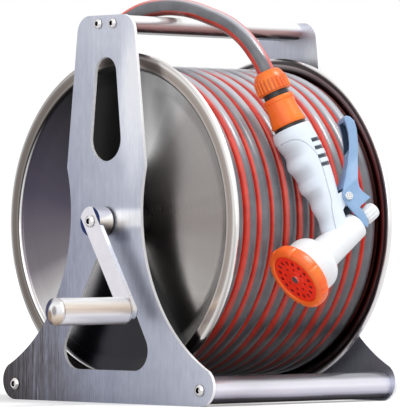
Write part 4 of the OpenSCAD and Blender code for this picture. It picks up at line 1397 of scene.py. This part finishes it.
@dataclass
class ButtonScrew:
    """Button-head screw with a deep hex socket, its head's seat at the origin and its head along Z."""

    shank_r: float
    head_r: float
    shank_l: float
    rise: float = 2.6

    def shape(self) -> Shape:
        """Makes the screw, with its socket and the crack under its head marked for painted shade.

        Returns:
            The screw's shape.
        """
        r, h, shank, low = self.head_r, self.rise, self.shank_r, -self.shank_l
        hexagon = r * 0.5
        profile = softened([
            (0.0, low, 0), (shank - 0.6, low, 0), (shank, low + 0.6, 0), (shank, 0, 0), (r - 0.15, 0, 0),
            (r, 0.35, 0.2), (r * 0.97, 1.0, 0.3), (r * 0.84, 1.95, 0.8), (r * 0.66, h, 0.5),
            (hexagon + 0.3, h, 0), (hexagon + 0.06, h - 0.05, 0), (hexagon, h - 0.2, 0), (hexagon, 0.95, 0),
            (hexagon * 0.62, 0.85, 0), (hexagon * 0.5, 0.85, 0), (0.0, 0.8, 0)])

        def six_sided(a: Array, z: Array, radius: Array) -> Array:
            """Brings the round socket in to a hexagon."""
            off = (np.degrees(a) + 30.0) % 60.0 - 30.0
            flat = hexagon * math.cos(math.radians(30)) / np.cos(np.radians(off)) - hexagon
            return flat * ((radius < hexagon + 0.1) & (radius > hexagon * 0.9) & (z > 0.5))

        def dark(_: Array, z: Array, radius: Array) -> Array:
            """Marks the socket's walls, the edge of its floor and the crack under the head, for painted shade.
            """
            socket = (radius < hexagon + 0.01) & (radius > hexagon * 0.6) & (z > 0.5)
            return np.maximum(socket * 1.0, 0.9 * ((radius > r - 0.2) & (z < 0.45)))

        return turned(profile, 48, six_sided, dark)


@dataclass
class Screws:
    """Every button-head screw of the reel, set out in rings and rows."""

    ring: RingOfParts
    row: RowOfParts
    finish: Material
    plate_x: float = 113.0
    carry_z: float = 334.5
    carry_apart: float = 19.0
    foot_z: float = 14.0
    foot_apart: float = 244.0
    flange_x: float = 90.05
    flange_screws_r: float = 23.0
    arm_x: float = 131.0

    @staticmethod
    def _outward(side: int, x: float, z: float, turn: float = 0.0) -> Matrix:
        """Carries a pattern in X and Y to a side of the reel, its X along the world's Y."""
        return placed((side * x, 0, z), (0, side * 90, 0)) @ placed((0, 0, 0), (0, 0, 90 + turn))

    def _both(self, name: str, body: str, node: str, pattern: Callable[[], Shape], *at: float) -> None:
        """Builds the same pattern of screws on both sides of the reel as one piece.

        Args:
            name: The piece's name.
            body: The body that it rides on.
            node: The node that it stands for.
            pattern: Makes the pattern.
            *at: Its place along X and Z, and its turn in degrees.
        """
        both = Shape()
        for side in (-1, 1):
            both.with_other(pattern().moved(self._outward(side, *at)))
        both.piece(name, self.finish, body, Slot.SCREW, node)

    def build(self) -> None:
        """Builds the screws of the bars and flanges, and the crank's screw."""
        carry, foot = ButtonScrew(2.5, 4.6, 16).shape(), ButtonScrew(3.0, 5.6, 16).shape()
        flange, arm = ButtonScrew(2.4, 4.6, 6.2).shape(), ButtonScrew(3.0, 5.6, 18).shape()
        self._both("carry_screws", "frame", "carry_bar_screws",
                   lambda: self.row.row(carry, 2, self.carry_apart, self.finish), self.plate_x, self.carry_z)
        self._both("foot_screws", "frame", "cross_bar_screws",
                   lambda: self.row.row(foot, 2, self.foot_apart, self.finish), self.plate_x, self.foot_z)
        self._both("drum_screws", "drum", "flange_screws",
                   lambda: self.ring.ring(flange, 4, self.flange_screws_r, self.finish),
                   self.flange_x, AXLE_Z, 45.0)
        arm.moved(self._outward(-1, self.arm_x, AXLE_Z))
        arm.piece("arm_screw", self.finish, "drum", Slot.SCREW, "crank_screw")


@dataclass
class GripEnd:
    """The domed cap in the end of the grip."""

    end_x: float = 213.3
    radius: float = 12.0
    dome: float = 3.5
    wall: float = 0.6
    plug_r: float = 7.9
    plug_l: float = 3.0
    at: Pair = (-48.0, 82.0)

    def build(self, palette: Palette) -> None:
        """Builds the cap.

        Args:
            palette: The finishes.
        """
        dome = [(self.radius * math.cos(t), self.wall + (self.dome - self.wall) * math.sin(t))
                for t in np.linspace(0, math.pi / 2, 22)]
        dome[-1] = (0.0, self.dome)
        shape = turned([(0.0, -self.plug_l), (self.plug_r, -self.plug_l), (self.plug_r, 0.0),
                        (self.radius - 0.35, 0.0), (self.radius, 0.3), *dome])
        shape.moved(placed((-self.end_x, *self.at), (0, -90, 0)))
        shape.piece("cap", palette.cap, "grip", Slot.GRIP, "grip_cap", 30)


@dataclass
class WoundHose:
    """The hose on the drum, its free end over the carry bar, the turns beneath and the tail inside."""

    sweep: SweptHose
    palette: Palette
    radius: float = 7.75
    pitch: float = 16.1
    lane0_x: float = -80.5
    wind_r: float = 131.2
    low_r: float = 115.2
    bed_r: float = 114.2
    first_bed_r: float = 98.4
    core_r: float = 60.4
    bed_half: float = 88.5
    lanes: int = 11
    shift_from: float = 265.0
    shift_span: float = 90.0
    dive_span: float = 34.0
    dive: float = 17.0
    tail_x: float = 28.85
    tail_up: float = 22.0
    tail_l: float = 37.26
    free_from: float = 105.0
    free_leave: float = 750.0
    climb: Pair = (410.0, 455.0)
    free_side: Triple = (-0.68, -0.73, 0.12)
    route: Tuple[Triple, ...] = ((-79.5, 99.5, 251), (-76.5, 85, 276.5), (-71.5, 70, 300.5), (-65, 54, 321),
                                 (-58.5, 37, 338.5), (-51.5, 19, 348.4), (-45.5, 0, 351.4), (-43, -19, 350.7),
                                 (-41, -39, 347), (-39.5, -59, 340.6), (-39.2, -71, 336.6),
                                 (-39.2, -85.8, 329.8), (-38.4, -101, 319.2), (-36.1, -114.3, 303.9))

    @staticmethod
    def _on_drum(x: Array, r: Array, degrees: Array) -> Array:
        """Points on the drum, by place along the axle, radius and angle."""
        a = np.radians(degrees)
        return np.stack([x + 0 * a, r * np.cos(a), AXLE_Z + r * np.sin(a)], axis=1)

    @staticmethod
    def _lengths(points: Array) -> Array:
        """Length along a path up to each point."""
        return np.concatenate([[0], np.cumsum(np.linalg.norm(np.diff(points, axis=0), axis=1))])

    def _outward(self, points: Array, twist: float) -> Array:
        """Finds directions away from the axle, square to the path and slowly twisted.

        Args:
            points: The path.
            twist: The most that they are twisted, in degrees.

        Returns:
            A direction at each point.
        """
        tangent = directions(points)
        away = points - np.array([0, 0, AXLE_Z])
        away[:, 0] = 0
        out = squared_to(tangent, away)
        a = np.radians(twist) * np.sin(self._lengths(points) / 460.0)
        return out * np.cos(a)[:, None] + np.cross(tangent, out) * np.sin(a)[:, None]

    def _lane(self, degrees: Array) -> Array:
        """Lane of the outer layer at each angle."""
        a = degrees - self.shift_from + 360
        turn = np.floor(a / 360)
        return self.lanes - turn - rounded_step(np.clip((a - 360 * turn) / self.shift_span, 0, 1))

    def winding(self) -> None:
        """Builds the outer layer, whose two ends dive under it."""
        total = 360 * (self.lanes - 1) - self.shift_span
        start = self.shift_from + self.shift_span - 360
        degrees = np.arange(start - self.dive_span, start + total + self.dive_span + 0.1, 4.0)
        inside = np.clip(degrees, start, start + total - 0.01)
        beyond = np.abs(degrees - inside) / self.dive_span
        r = self.wind_r - self.dive * beyond ** 1.6
        x = self.lane0_x + self.pitch * self._lane(inside)
        x = np.where(degrees > start + total, self.lane0_x + self.pitch, x)
        points = self._on_drum(x, r, degrees)
        mesh = self.sweep.hose("hose_turns", points, self._outward(points, 9.0), self.radius, 20,
                               self.palette.hose)
        finished("hose_turns", mesh, self.palette.hose, "drum", "hose_winding")

    def beneath(self) -> None:
        """Builds the turns under the outer layer as one scalloped bed."""
        profile = [(self.core_r, -self.bed_half), (self.core_r, self.bed_half)]
        for lane in reversed(range(self.lanes)):
            centre_r = self.first_bed_r if lane == 0 else self.bed_r
            centre_x = self.lane0_x + self.pitch * lane
            for t in np.radians(np.linspace(75, -75, 9)):
                profile.append((centre_r + self.radius * math.cos(t), centre_x + self.radius * math.sin(t)))
        shape = turned(profile + [profile[0]], 120)
        shape.moved(placed((0, 0, AXLE_Z), (0, 90, 0)))
        shape.piece("hose_under_turns", self.palette.inner, "drum", Slot.HOSE, "hose_inner_layers")

    def tail(self) -> None:
        """Builds the hose's tail on the barb inside the drum."""
        heights = AXLE_Z + self.tail_up + np.arange(0, self.tail_l, 2.07)
        path = np.array([(self.tail_x, 0.0, z) for z in heights])
        out = np.tile([1.0, 0.0, 0.0], (len(path), 1))
        mesh = self.sweep.hose("hose_tail_end", path, out, self.radius, 24, self.palette.hose)
        finished("hose_tail_end", mesh, self.palette.hose, "drum", "hose_tail")

    def free_end(self, ends: Sequence[Array]) -> None:
        """Args:
            ends: Where the hose enters the nut and where it ends inside the coupling, in millimetres.
        """
        degrees = np.arange(self.free_from, self.free_leave + 0.1, 5.0)
        t = np.clip((degrees - self.climb[0]) / (self.climb[1] - self.climb[0]), 0, 1)
        r = self.low_r + (self.wind_r - self.low_r) * rounded_step(t)
        turns = self._on_drum(np.full_like(degrees, self.lane0_x), r, degrees)
        leave = smooth_path(np.vstack([turns[-7::3], np.array(self.route), ends]), 4.0)
        first = int(np.argmin(np.linalg.norm(leave - turns[-1], axis=1)))
        points = np.vstack([turns, leave[first + 1:]])
        share = np.clip((np.arange(len(points)) - len(turns)) / 12.0, 0, 1)[:, None]
        out = self._outward(points, 8.0) * (1 - share) + np.array(self.free_side) * share
        out = squared_to(directions(points), out)
        mesh = self.sweep.hose("free_hose", points, out, self.radius, 24, self.palette.free_hose)
        piece = finished("free_hose", mesh, self.palette.free_hose, "frame", "hose_free_end")


@dataclass
class Coupling:
    """The click coupling between the hose and the gun: nut, ring and sliding sleeve."""

    on_handle: Matrix
    palette: Palette
    handle_l: float = 106.0
    coupling_l: float = 54.7
    hose_end: float = 14.0
    nut_l: float = 20.0
    nut_r: float = 15.0
    nut_hole_r: float = 8.1
    ribs: int = 24
    sleeve_at: float = 3.2
    sleeve_l: float = 26.5
    sleeve_r: float = 15.8
    sleeve_holes: Pair = (10.55, 11.85)
    hollows_at: Pair = (150.0, 330.0)
    hollow_half: Pair = (27.0, 8.2)
    hollow_z: float = 11.5
    hollow_deep: float = 0.75

    def at(self, z: float) -> Matrix:
        """Place on the coupling's axis, z above the handle's end."""
        return self.on_handle @ placed((0, 0, self.handle_l + z))

    def hose_ends(self) -> List[Array]:
        """Where the hose enters the nut and where it ends."""
        return [np.array(self.at(self.coupling_l - depth).translation) for depth in (0.0, self.hose_end)]

    def nut(self, ring: RingOfParts) -> Object:
        """Builds the ribbed nut round the hose.

        Args:
            ring: Sets the ribs in a ring.

        Returns:
            The nut.
        """
        r, h, hole = self.nut_r, self.nut_l, self.nut_hole_r
        outside = softened([(hole, 0, 0), (r - 0.9, 0, 0), (r - 0.2, 0.9, 0.6), (r - 0.2, 10.5, 4),
                            (r - 1.6, 15.2, 3), (r - 3.6, h - 1.2, 1.6), (r - 5.6, h, 0.8), (hole, h, 0)])
        # painted shade on the body between the ribs
        shaded = within(0.5, (r - 1.2, r + 1.0), (0.5, 12.6))
        shape = turned(finer(outside + [outside[0]], 1.2), 96, None, shaded)
        rib = bar_shape(1.5, 2.2, 11.4, 0.5).moved(placed((0, 0, 1.1), (0, -3.0, 0)))
        shape.with_other(ring.ring(rib, self.ribs, r - 0.25, self.palette.orange))
        shape.moved(self.at(self.coupling_l - h))
        return shape.piece("nut", self.palette.orange, "frame", Slot.ORANGE, "coupling_nut", 30)

    def sleeve(self) -> Object:
        """Builds the sliding sleeve with an oval hollow on each side.

        Returns:
            The sleeve.
        """
        r, h = self.sleeve_r, self.sleeve_l
        hole, wide_hole = self.sleeve_holes
        body = finer(softened([
            (hole, 0, 0), (r - 1.1, 0, 0), (r, 1.1, 0.8), (r, 4.5, 3.5), (r - 2.0, h - 6.0, 3.0),
            (r - 2.1, h - 4.5, 0.5), (r - 1.5, h - 3.9, 0.4), (r - 1.5, h - 1.0, 0.9), (r - 2.3, h, 0.4),
            (wide_hole, h, 0), (wide_hole, h - 6, 0), (hole, h - 6, 0)]), 0.6)

        def hollow(a: Array, z: Array, radius: Array) -> Array:
            """Depth of the oval thumb hollows."""
            deep = np.zeros_like(a)
            for middle in self.hollows_at:
                off = (np.degrees(a) - middle + 180) % 360 - 180
                reach = np.hypot(off / self.hollow_half[0], (z - self.hollow_z) / self.hollow_half[1])
                deep -= self.hollow_deep * np.clip((1.06 - reach) / 0.12, 0, 1)
            return deep * (radius > wide_hole + 0.55)

        shape = turned(body + [body[0]], 160, hollow)
        shape.moved(self.at(self.sleeve_at))
        return shape.piece("sleeve", self.palette.orange, "sleeve", Slot.ORANGE, "coupling_sleeve", 40)


@dataclass
class SprayGun:
    """The gun: handle, barrel with its bell, knob, dial, spray face and lever.

    The rows are height, reach to the front, reach to the rear and half depth; the seam's points are
    reach to the front and height."""

    palette: Palette
    at: Triple = (3.5, -175.5, 144.0)
    turn: Triple = (19.0, 35.5, 173.0)
    lean: float = 18.2
    rows: Tuple[Tuple[float, float, float, float], ...] = (
        (2, 13, 13, 9.5), (12, 13, 13.2, 9.8), (16, 12.2, 13.3, 10.1), (22, 10.8, 13.6, 10.8),
        (28, 11.1, 14.1, 11.6), (33, 11.7, 14.7, 12.3), (39, 10.5, 15.6, 13.1), (44.5, 11.1, 16.5, 13.8),
        (50, 14.4, 17.5, 14.5), (54.3, 14.8, 18.1, 14.9), (59, 13.2, 18.7, 15.3), (63.5, 13.7, 19.2, 15.6),
        (67.5, 14.9, 19.6, 15.8), (72, 17.2, 20, 16.1), (77, 16.6, 20, 16.3), (81, 14.9, 19.9, 16.5),
        (85.6, 14.7, 19.6, 16.7), (90, 16.2, 19.1, 16.9), (94, 17.7, 18.5, 17), (99, 18.6, 17.6, 17.2),
        (106, 17.4, 16.8, 16.8))
    seam: Tuple[Pair, ...] = ((24, 92.6), (19, 95.0), (11.5, 94.6), (4.4, 90.6), (-1.8, 82), (-4.8, 73),
                              (-4.8, 63.5), (-2.8, 47), (-1.4, 35), (1.0, 28), (3.5, 15.6), (5.0, 6))
    seam_half: float = 0.55
    seam_deep: float = 0.35
    corner: float = 0.94
    end_z: Tuple[float, ...] = (104.6, 105.3, 105.8, 106.0)
    end_cut: Tuple[float, ...] = (0.0, 0.15, 0.55, 1.1)
    slots: int = 4
    slot_z: float = 64.0
    slot_pitch: float = 7.7
    slot_w: float = 2.9
    slot_x: Pair = (-19.5, -5.0)
    slot_floor: Tuple[Pair, Pair] = ((-5.0, 13.0), (-18.5, 5.0))
    barrel_r: float = 12.0
    barrel_x: float = -22.0
    barrel_l: float = 70.0
    bell_r: float = 25.0
    bell_wall: float = 2.0
    bell_deep: float = 6.0
    neck_x: float = 25.0
    neck_r: float = 15.0
    shoulder_l: float = 13.0
    valve_hole_r: float = 3.05
    waterway: Pair = (22.0, 5.0)
    dial_gap: float = 0.4
    dial_r: float = 30.5
    dial_l: float = 12.0
    face_r: float = 23.6
    face_deep: float = 3.7
    jets: Tuple[Tuple[int, float, float], ...] = ((16, 17.6, 2.15), (8, 10.8, 1.55))
    jet_narrow: float = 0.82
    knob_r: float = 7.5
    knob_l: float = 15.0
    knob_x: float = -31.5
    knob_ribs: int = 14
    lever_w: float = 20.0
    lever_wall: float = 2.2
    pivot: Pair = (-29.0, 24.0)
    pin_r: float = 2.5
    pin_head_r: float = 3.5

    def body(self) -> Matrix:
        """Place of the gun: X along the barrel, Z up."""
        return placed(self.at, self.turn)

    def on_handle(self) -> Matrix:
        """Place of the handle's axis, Z up to the coupling."""
        return self.body() @ placed((0, 0, 0), (0, -self.lean, 0))

    def on_barrel(self, x: float) -> Matrix:
        """Place on the barrel's axis, its Z towards the dial."""
        return self.body() @ placed((x, 0, 0), (0, 90, 0))

    def dial_x(self) -> float:
        """Where the dial begins on the barrel's axis."""
        return self.barrel_x + self.barrel_l + self.dial_gap

    def _reaches(self, z: Array) -> List[Array]:
        """Runs smooth curves through the rows.

        Args:
            z: Heights.

        Returns:
            Reach to the front, to the rear and half depth at each height.
        """
        rows = np.array(self.rows, float)
        i = np.clip(np.searchsorted(rows[:, 0], z) - 1, 0, len(rows) - 2)
        span = rows[i + 1, 0] - rows[i, 0]
        t = np.clip((z - rows[i, 0]) / span, 0, 1)
        curves = []
        for column in (1, 2, 3):
            slope = np.gradient(rows[:, column], rows[:, 0])
            a, b = rows[i, column], rows[i + 1, column]
            curves.append((2 * t ** 3 - 3 * t ** 2 + 1) * a + (t ** 3 - 2 * t ** 2 + t) * span * slope[i]
                          + (-2 * t ** 3 + 3 * t ** 2) * b + (t ** 3 - t ** 2) * span * slope[i + 1])
        return curves

    def _seam_distance(self, x: Array, z: Array) -> Array:
        """Measures how far points are from the panel's seam, seen from the side.

        Args:
            x: Reach of each point to the front.
            z: Its height.

        Returns:
            Each point's distance.
        """
        best = np.full(x.shape, 99.0)
        for q in smooth_path(np.array([(a, b, 0.0) for a, b in self.seam]), 0.5):
            best = np.minimum(best, np.hypot(x - q[0], z - q[1]))
        return best

    def handle(self) -> Object:
        """Builds the handle with its finger waves, panel seam and rear slots, with painted shade in the waves'
        valleys and in the slots.

        Returns:
            The handle.
        """
        heights = np.concatenate([np.linspace(1.0, self.end_z[0], 168), self.end_z[1:]])
        front, rear, depth = self._reaches(heights)
        end = np.interp(heights, self.end_z, self.end_cut)
        angle = np.linspace(0, 2 * np.pi, 168, endpoint=False)
        c, s = np.cos(angle)[None], np.sin(angle)[None]
        reach = np.where(c > 0, front[:, None], rear[:, None]) - end[:, None]
        x = reach * np.sign(c) * np.abs(c) ** self.corner
        y = (depth - end)[:, None] * np.sign(s) * np.abs(s) ** self.corner
        z = heights[:, None] + 0 * x
        groove = np.clip(1.25 - self._seam_distance(x, z) / self.seam_half, 0, 1) * (np.abs(y) > 2.0)
        shrink = 1.0 - groove * self.seam_deep / np.hypot(x, y)
        wide = np.array([np.interp([h - 7, h, h + 7], heights, front).max() for h in heights])
        # painted shade in the finger waves' valleys, on the front
        painted_valley_shade = np.clip((wide - front) / 3.0, 0, 1)[:, None] * np.clip(c * 1.6 - 0.3, 0, 1)
        marks = np.maximum(groove * 0.55, 0.2 * painted_valley_shade)
        (ax, ay), (bx, by) = self.slot_floor
        slope = (by - ay) / (bx - ax)
        floor = (ay - slope * ax) / np.maximum(1e-6, np.abs(y) - slope * x)
        # painted shade in the slots
        for low in self.slot_z + self.slot_pitch * np.arange(self.slots):
            inside = (z > low) & (z < low + self.slot_w) & (x < self.slot_x[1]) & (x > self.slot_x[0])
            cut = inside & (floor < 0.995)
            shrink = np.where(cut, np.minimum(shrink, floor), shrink)
            marks = np.where(cut, 0.9, marks)
        shape = Shape().grid(np.stack([x * shrink, y * shrink, z], axis=2), marks).moved(self.on_handle())
        return shape.piece("handle", self.palette.pale_blue, "frame", Slot.PALE_BLUE, "gun_handle", 50)

    def barrel(self) -> Object:
        """Builds the barrel, its flared shoulder and its bell.

        Returns:
            The barrel.
        """
        start, end, neck, bell = self.barrel_x, self.barrel_x + self.barrel_l, self.neck_r, self.bell_r
        water_x, water_r = self.waterway
        inner, floor = bell - self.bell_wall, end - self.bell_deep
        flare = [(neck + (bell - neck) * math.sin(t), self.neck_x + self.shoulder_l * (1 - math.cos(t)), 0)
                 for t in np.radians(range(10, 91, 10))]
        points = softened([
            (self.valve_hole_r, start, 0), (self.barrel_r, start, 1.2), (neck - 0.1, self.neck_x - 1.0, 3),
            *flare, (bell, end, 0.6), (inner, end, 0.4), (inner, floor, 0), (water_r, floor, 0),
            (water_r, water_x, 0), (self.valve_hole_r, water_x, 0)])
        shape = turned(points + [points[0]], 128)
        shape.moved(self.on_barrel(0))
        return shape.piece("barrel", self.palette.white, "frame", Slot.WHITE, "gun_barrel", 32)

    def knob(self, ring: RingOfParts) -> Object:
        """Builds the ribbed flow knob.

        Args:
            ring: Sets the ribs in a ring.

        Returns:
            The knob.
        """
        r, h, hole = self.knob_r, self.knob_l, self.valve_hole_r
        profile = [(0, 0, 0), (r - 0.6, 0, 1.6), (r - 0.6, h, 0.5), (hole, h, 0), (hole, 3.5, 0), (0, 3.5, 0)]
        shape = turned(softened(profile), 64)
        rib = bar_shape(1.2, 1.5, h - 3.6, 0.4).moved(placed((0, 0, 1.8)))
        shape.with_other(ring.ring(rib, self.knob_ribs, r - 0.62, self.palette.white))
        shape.moved(self.on_barrel(self.knob_x - h))
        return shape.piece("knob", self.palette.white, "knob", Slot.WHITE, "flow_knob", 32)

    def dial(self) -> Object:
        """Builds the dial, a cup with a scalloped wall and a floor under the face painted dark as shade.

        Returns:
            The dial.
        """
        r, h, well = self.dial_r, self.dial_l, self.face_r + 0.2
        hub, floor = self.bell_r - 2.6, self.dial_l - self.face_deep
        body = finer(softened([
            (0, -18, 0), (4.95, -18, 0.5), (4.95, -5, 0), (hub, -5, 0.5), (hub, 0, 0), (r - 3, 0, 0.6),
            (r - 0.8, 1.8, 1.2), (r, 6.0, 2.5), (r, h - 2.6, 1.4), (r - 1.0, h - 0.8, 0.9), (r - 3.2, h, 0.9),
            (well + 0.8, h, 0.8), (well, h - 0.8, 0.4), (well, floor, 0), (0, floor, 0)], 6), 0.8)

        def scallop(a: Array, z: Array, radius: Array) -> Array:
            """Eight shallow finger notches in the wall."""
            off = (np.degrees(a) + 22.5) % 45.0 - 22.5
            dent = np.clip(1.0 - (off / 4.4) ** 2, 0, 1) * 1.25
            return -dent * (radius > r - 3.4) * np.clip((z + 0.2) / 1.4, 0, 1)

        # painted shade on the floor under the face
        shape = turned(body, 240, scallop, within(0.85, (-1.0, self.face_r), (floor - 0.2, floor + 0.2)))
        shape.moved(self.on_barrel(self.dial_x()))
        return shape.piece("dial", self.palette.dial, "dial", Slot.ORANGE, "spray_dial", 32)

    @staticmethod
    def _jet(half: float) -> Shape:
        """Makes one jet, a low square collar with painted shade in its bore.

        Args:
            half: Half its width.

        Returns:
            The jet, its X pointing outwards.
        """
        across = half * math.sqrt(2)
        # painted shade in the bore
        bore = within(1.0, (-1.0, across - 0.38), (0.0, 9.0))
        jet = turned([(0.0, 2.1), (across, 2.1), (across - 0.1, 2.7), (across - 0.3, 2.75),
                      (across - 0.4, 2.65), (across - 0.5, 2.25), (0.0, 2.2)], 4, None, bore)
        return jet.moved(placed((0, 0, 0), (0, 0, 45)))

    def face(self, ring: RingOfParts) -> Object:
        """Builds the spray face with its jets.

        Args:
            ring: Sets the jets in rings.

        Returns:
            The face.
        """
        r = self.face_r
        plate = softened([(2.1, 0, 0), (r, 0, 0), (r, 2.1, 0.5), (r - 1.8, 2.5, 0.6), (r - 2.6, 2.15, 0.3),
                          (9.4, 2.15, 0.3), (8.6, 2.6, 0.4), (2.1, 2.6, 0)])
        shape = turned(plate + [plate[0]], 128)
        for count, at, half in self.jets:
            jet = self._jet(half)
            jet.points[:, 1] *= self.jet_narrow
            shape.with_other(ring.ring(jet, count, at, self.palette.red))
        shape.moved(self.on_barrel(self.dial_x() + self.dial_l - self.face_deep))
        return shape.piece("spray_face", self.palette.red, "dial", Slot.RED, "dial_face", 32)

    def pin(self) -> Object:
        """Builds the lever's pin, its head with a ring groove and a small centre, both holding painted shade.

        Returns:
            The pin.
        """
        r, head, top = self.pin_r, self.pin_head_r, self.lever_w / 2 + 0.3
        below = [(0.0, -1.4), (head - 0.3, -1.4), (head, -1.1), (head, 0.0), (r, 0.0)]
        above = [(r, 0.0), (head, 0.0), (head, 1.4), (3.15, 1.8), (2.65, 1.8), (2.6, 1.7), (2.5, 1.45),
                 (2.05, 1.45), (1.95, 1.7), (1.9, 1.8), (0.95, 1.8), (0.9, 1.7), (0.0, 1.65)]
        points = [(x, z - top) for x, z in below] + [(x, z + top) for x, z in above]
        # painted shade in the head's ring groove and centre
        shape = turned(points, 48, None, within(0.55, (-1.0, 2.62), (top + 1.4, top + 1.72)))
        shape.moved(self.body() @ placed((self.pivot[0], 0, self.pivot[1]), (-90, 0, 0)))
        return shape.piece("pin", self.palette.white, "frame", Slot.WHITE, "lever_pin", 30)

    def shade_inside(self, piece: Object) -> Object:
        """Marks the lever's faces that look at each other inside its fork and spoon, for painted shade.

        Args:
            piece: The lever.

        Returns:
            The lever.
        """
        mesh = piece.data
        centre, normal = np.zeros(len(mesh.polygons) * 3), np.zeros(len(mesh.polygons) * 3)
        mesh.polygons.foreach_get("center", centre)
        mesh.polygons.foreach_get("normal", normal)
        back = np.array(self.body().inverted())
        at = centre.reshape(-1, 3) / MM @ back[:3, :3].T + back[:3, 3]
        to = normal.reshape(-1, 3) @ back[:3, :3].T
        half = self.lever_w / 2 - self.lever_wall + 0.4
        # painted shade on the faces inside the fork and spoon
        inside = (np.abs(at[:, 1]) < half) & (to[:, 1] * np.sign(at[:, 1]) < -0.4)
        mark = mesh.attributes.new("mark", "FLOAT", "FACE")
        mark.data.foreach_set("value", inside.astype(np.float32) * 0.9)
        return piece


@dataclass
class Dresser:
    """Gives the carried-over nodes their finishes, and softens the edges of the lever."""

    frame: Dict
    palette: Palette
    soft_w: float = 0.7
    sharp: float = 28.0

    def softened_lever(self) -> Object:
        """Makes a copy of the lever with rounded edges, which stands for it.

        Returns:
            The new lever.
        """
        mesh = self.frame["nodes"]["gun_lever"].data.copy()
        with edited(mesh, 40) as bm:
            bmesh.ops.remove_doubles(bm, verts=bm.verts, dist=1e-6)
            bmesh.ops.dissolve_limit(bm, angle_limit=math.radians(1.0), verts=bm.verts, edges=bm.edges)
            sharp = math.radians(self.sharp)
            edges = [e for e in bm.edges if len(e.link_faces) == 2 and e.calc_face_angle(0.0) > sharp]
            bmesh.ops.bevel(bm, geom=edges, offset=self.soft_w * MM, offset_type="OFFSET", segments=3,
                            profile=0.5, affect="EDGES", clamp_overlap=True)
        return finished("lever", mesh, self.palette.blue, "lever", "gun_lever")

    def dress(self) -> None:
        """Dresses every node that stays."""
        p = self.palette
        for material, nodes in (
                (p.crank_plate, "crank_side_plate"), (p.inlet_plate, "inlet_side_plate"),
                (p.carry_bar, "carry_bar"), (p.bar, "front_cross_bar rear_cross_bar"),
                (p.screw, "grip_washer inlet_clip valve_stem"), (p.crank, "dial_screw crank_arm"),
                (p.black, "cross_bar_plugs crank_bush inlet_bush coupling_body gun_tail_nipple valve_collar "
                          "inlet_elbow"),
                (p.drum, "drum_core crank_stub grip_spindle"), (p.brass, "water_stub barb_elbow"),
                (p.hub, "crank_hub"), (p.grip, "crank_grip"), (p.rubber, "inlet_seals"),
                (p.orange, "inlet_nipple"), (p.pale_blue, "lever_bracket"), (p.blue, "gun_lever")):
            for name in nodes.split():
                data = self.frame["nodes"][name].data
                data.materials.clear()
                data.materials.append(material)
                log.info("%s: dressed", name)


def main() -> None:
    """Builds the studio and every sub-assembly."""
    logging.basicConfig(level=logging.INFO, format="%(name)s: %(message)s")
    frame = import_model()
    low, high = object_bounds()
    sizes = [list(low), list(high)]
    Studio().build()
    palette = Palette()
    ring = RingOfParts()
    dresser = Dresser(frame, palette)
    dresser.dress()
    Flange(12.05, -1).build("crank_side_flange", "crank_flange", palette.crank_flange)
    Flange(15.05, 1).build("inlet_side_flange", "inlet_flange", palette.inlet_flange)
    Screws(ring, RowOfParts(), palette.screw).build()
    GripEnd().build(palette)

    gun = SprayGun(palette)
    coupling = Coupling(gun.on_handle(), palette)
    lever = gun.shade_inside(dresser.softened_lever())
    own = [coupling.nut(ring), coupling.sleeve(), gun.handle(), gun.barrel(), gun.knob(ring), gun.dial(),
           gun.face(ring), gun.pin(), lever]
    hose = WoundHose(SweptHose(), palette)
    hose.winding()
    hose.beneath()
    hose.tail()
    hose.free_end(coupling.hose_ends())

    low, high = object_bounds()
    sizes += [list(low), list(high)]


if __name__ == "__main__":
    main()
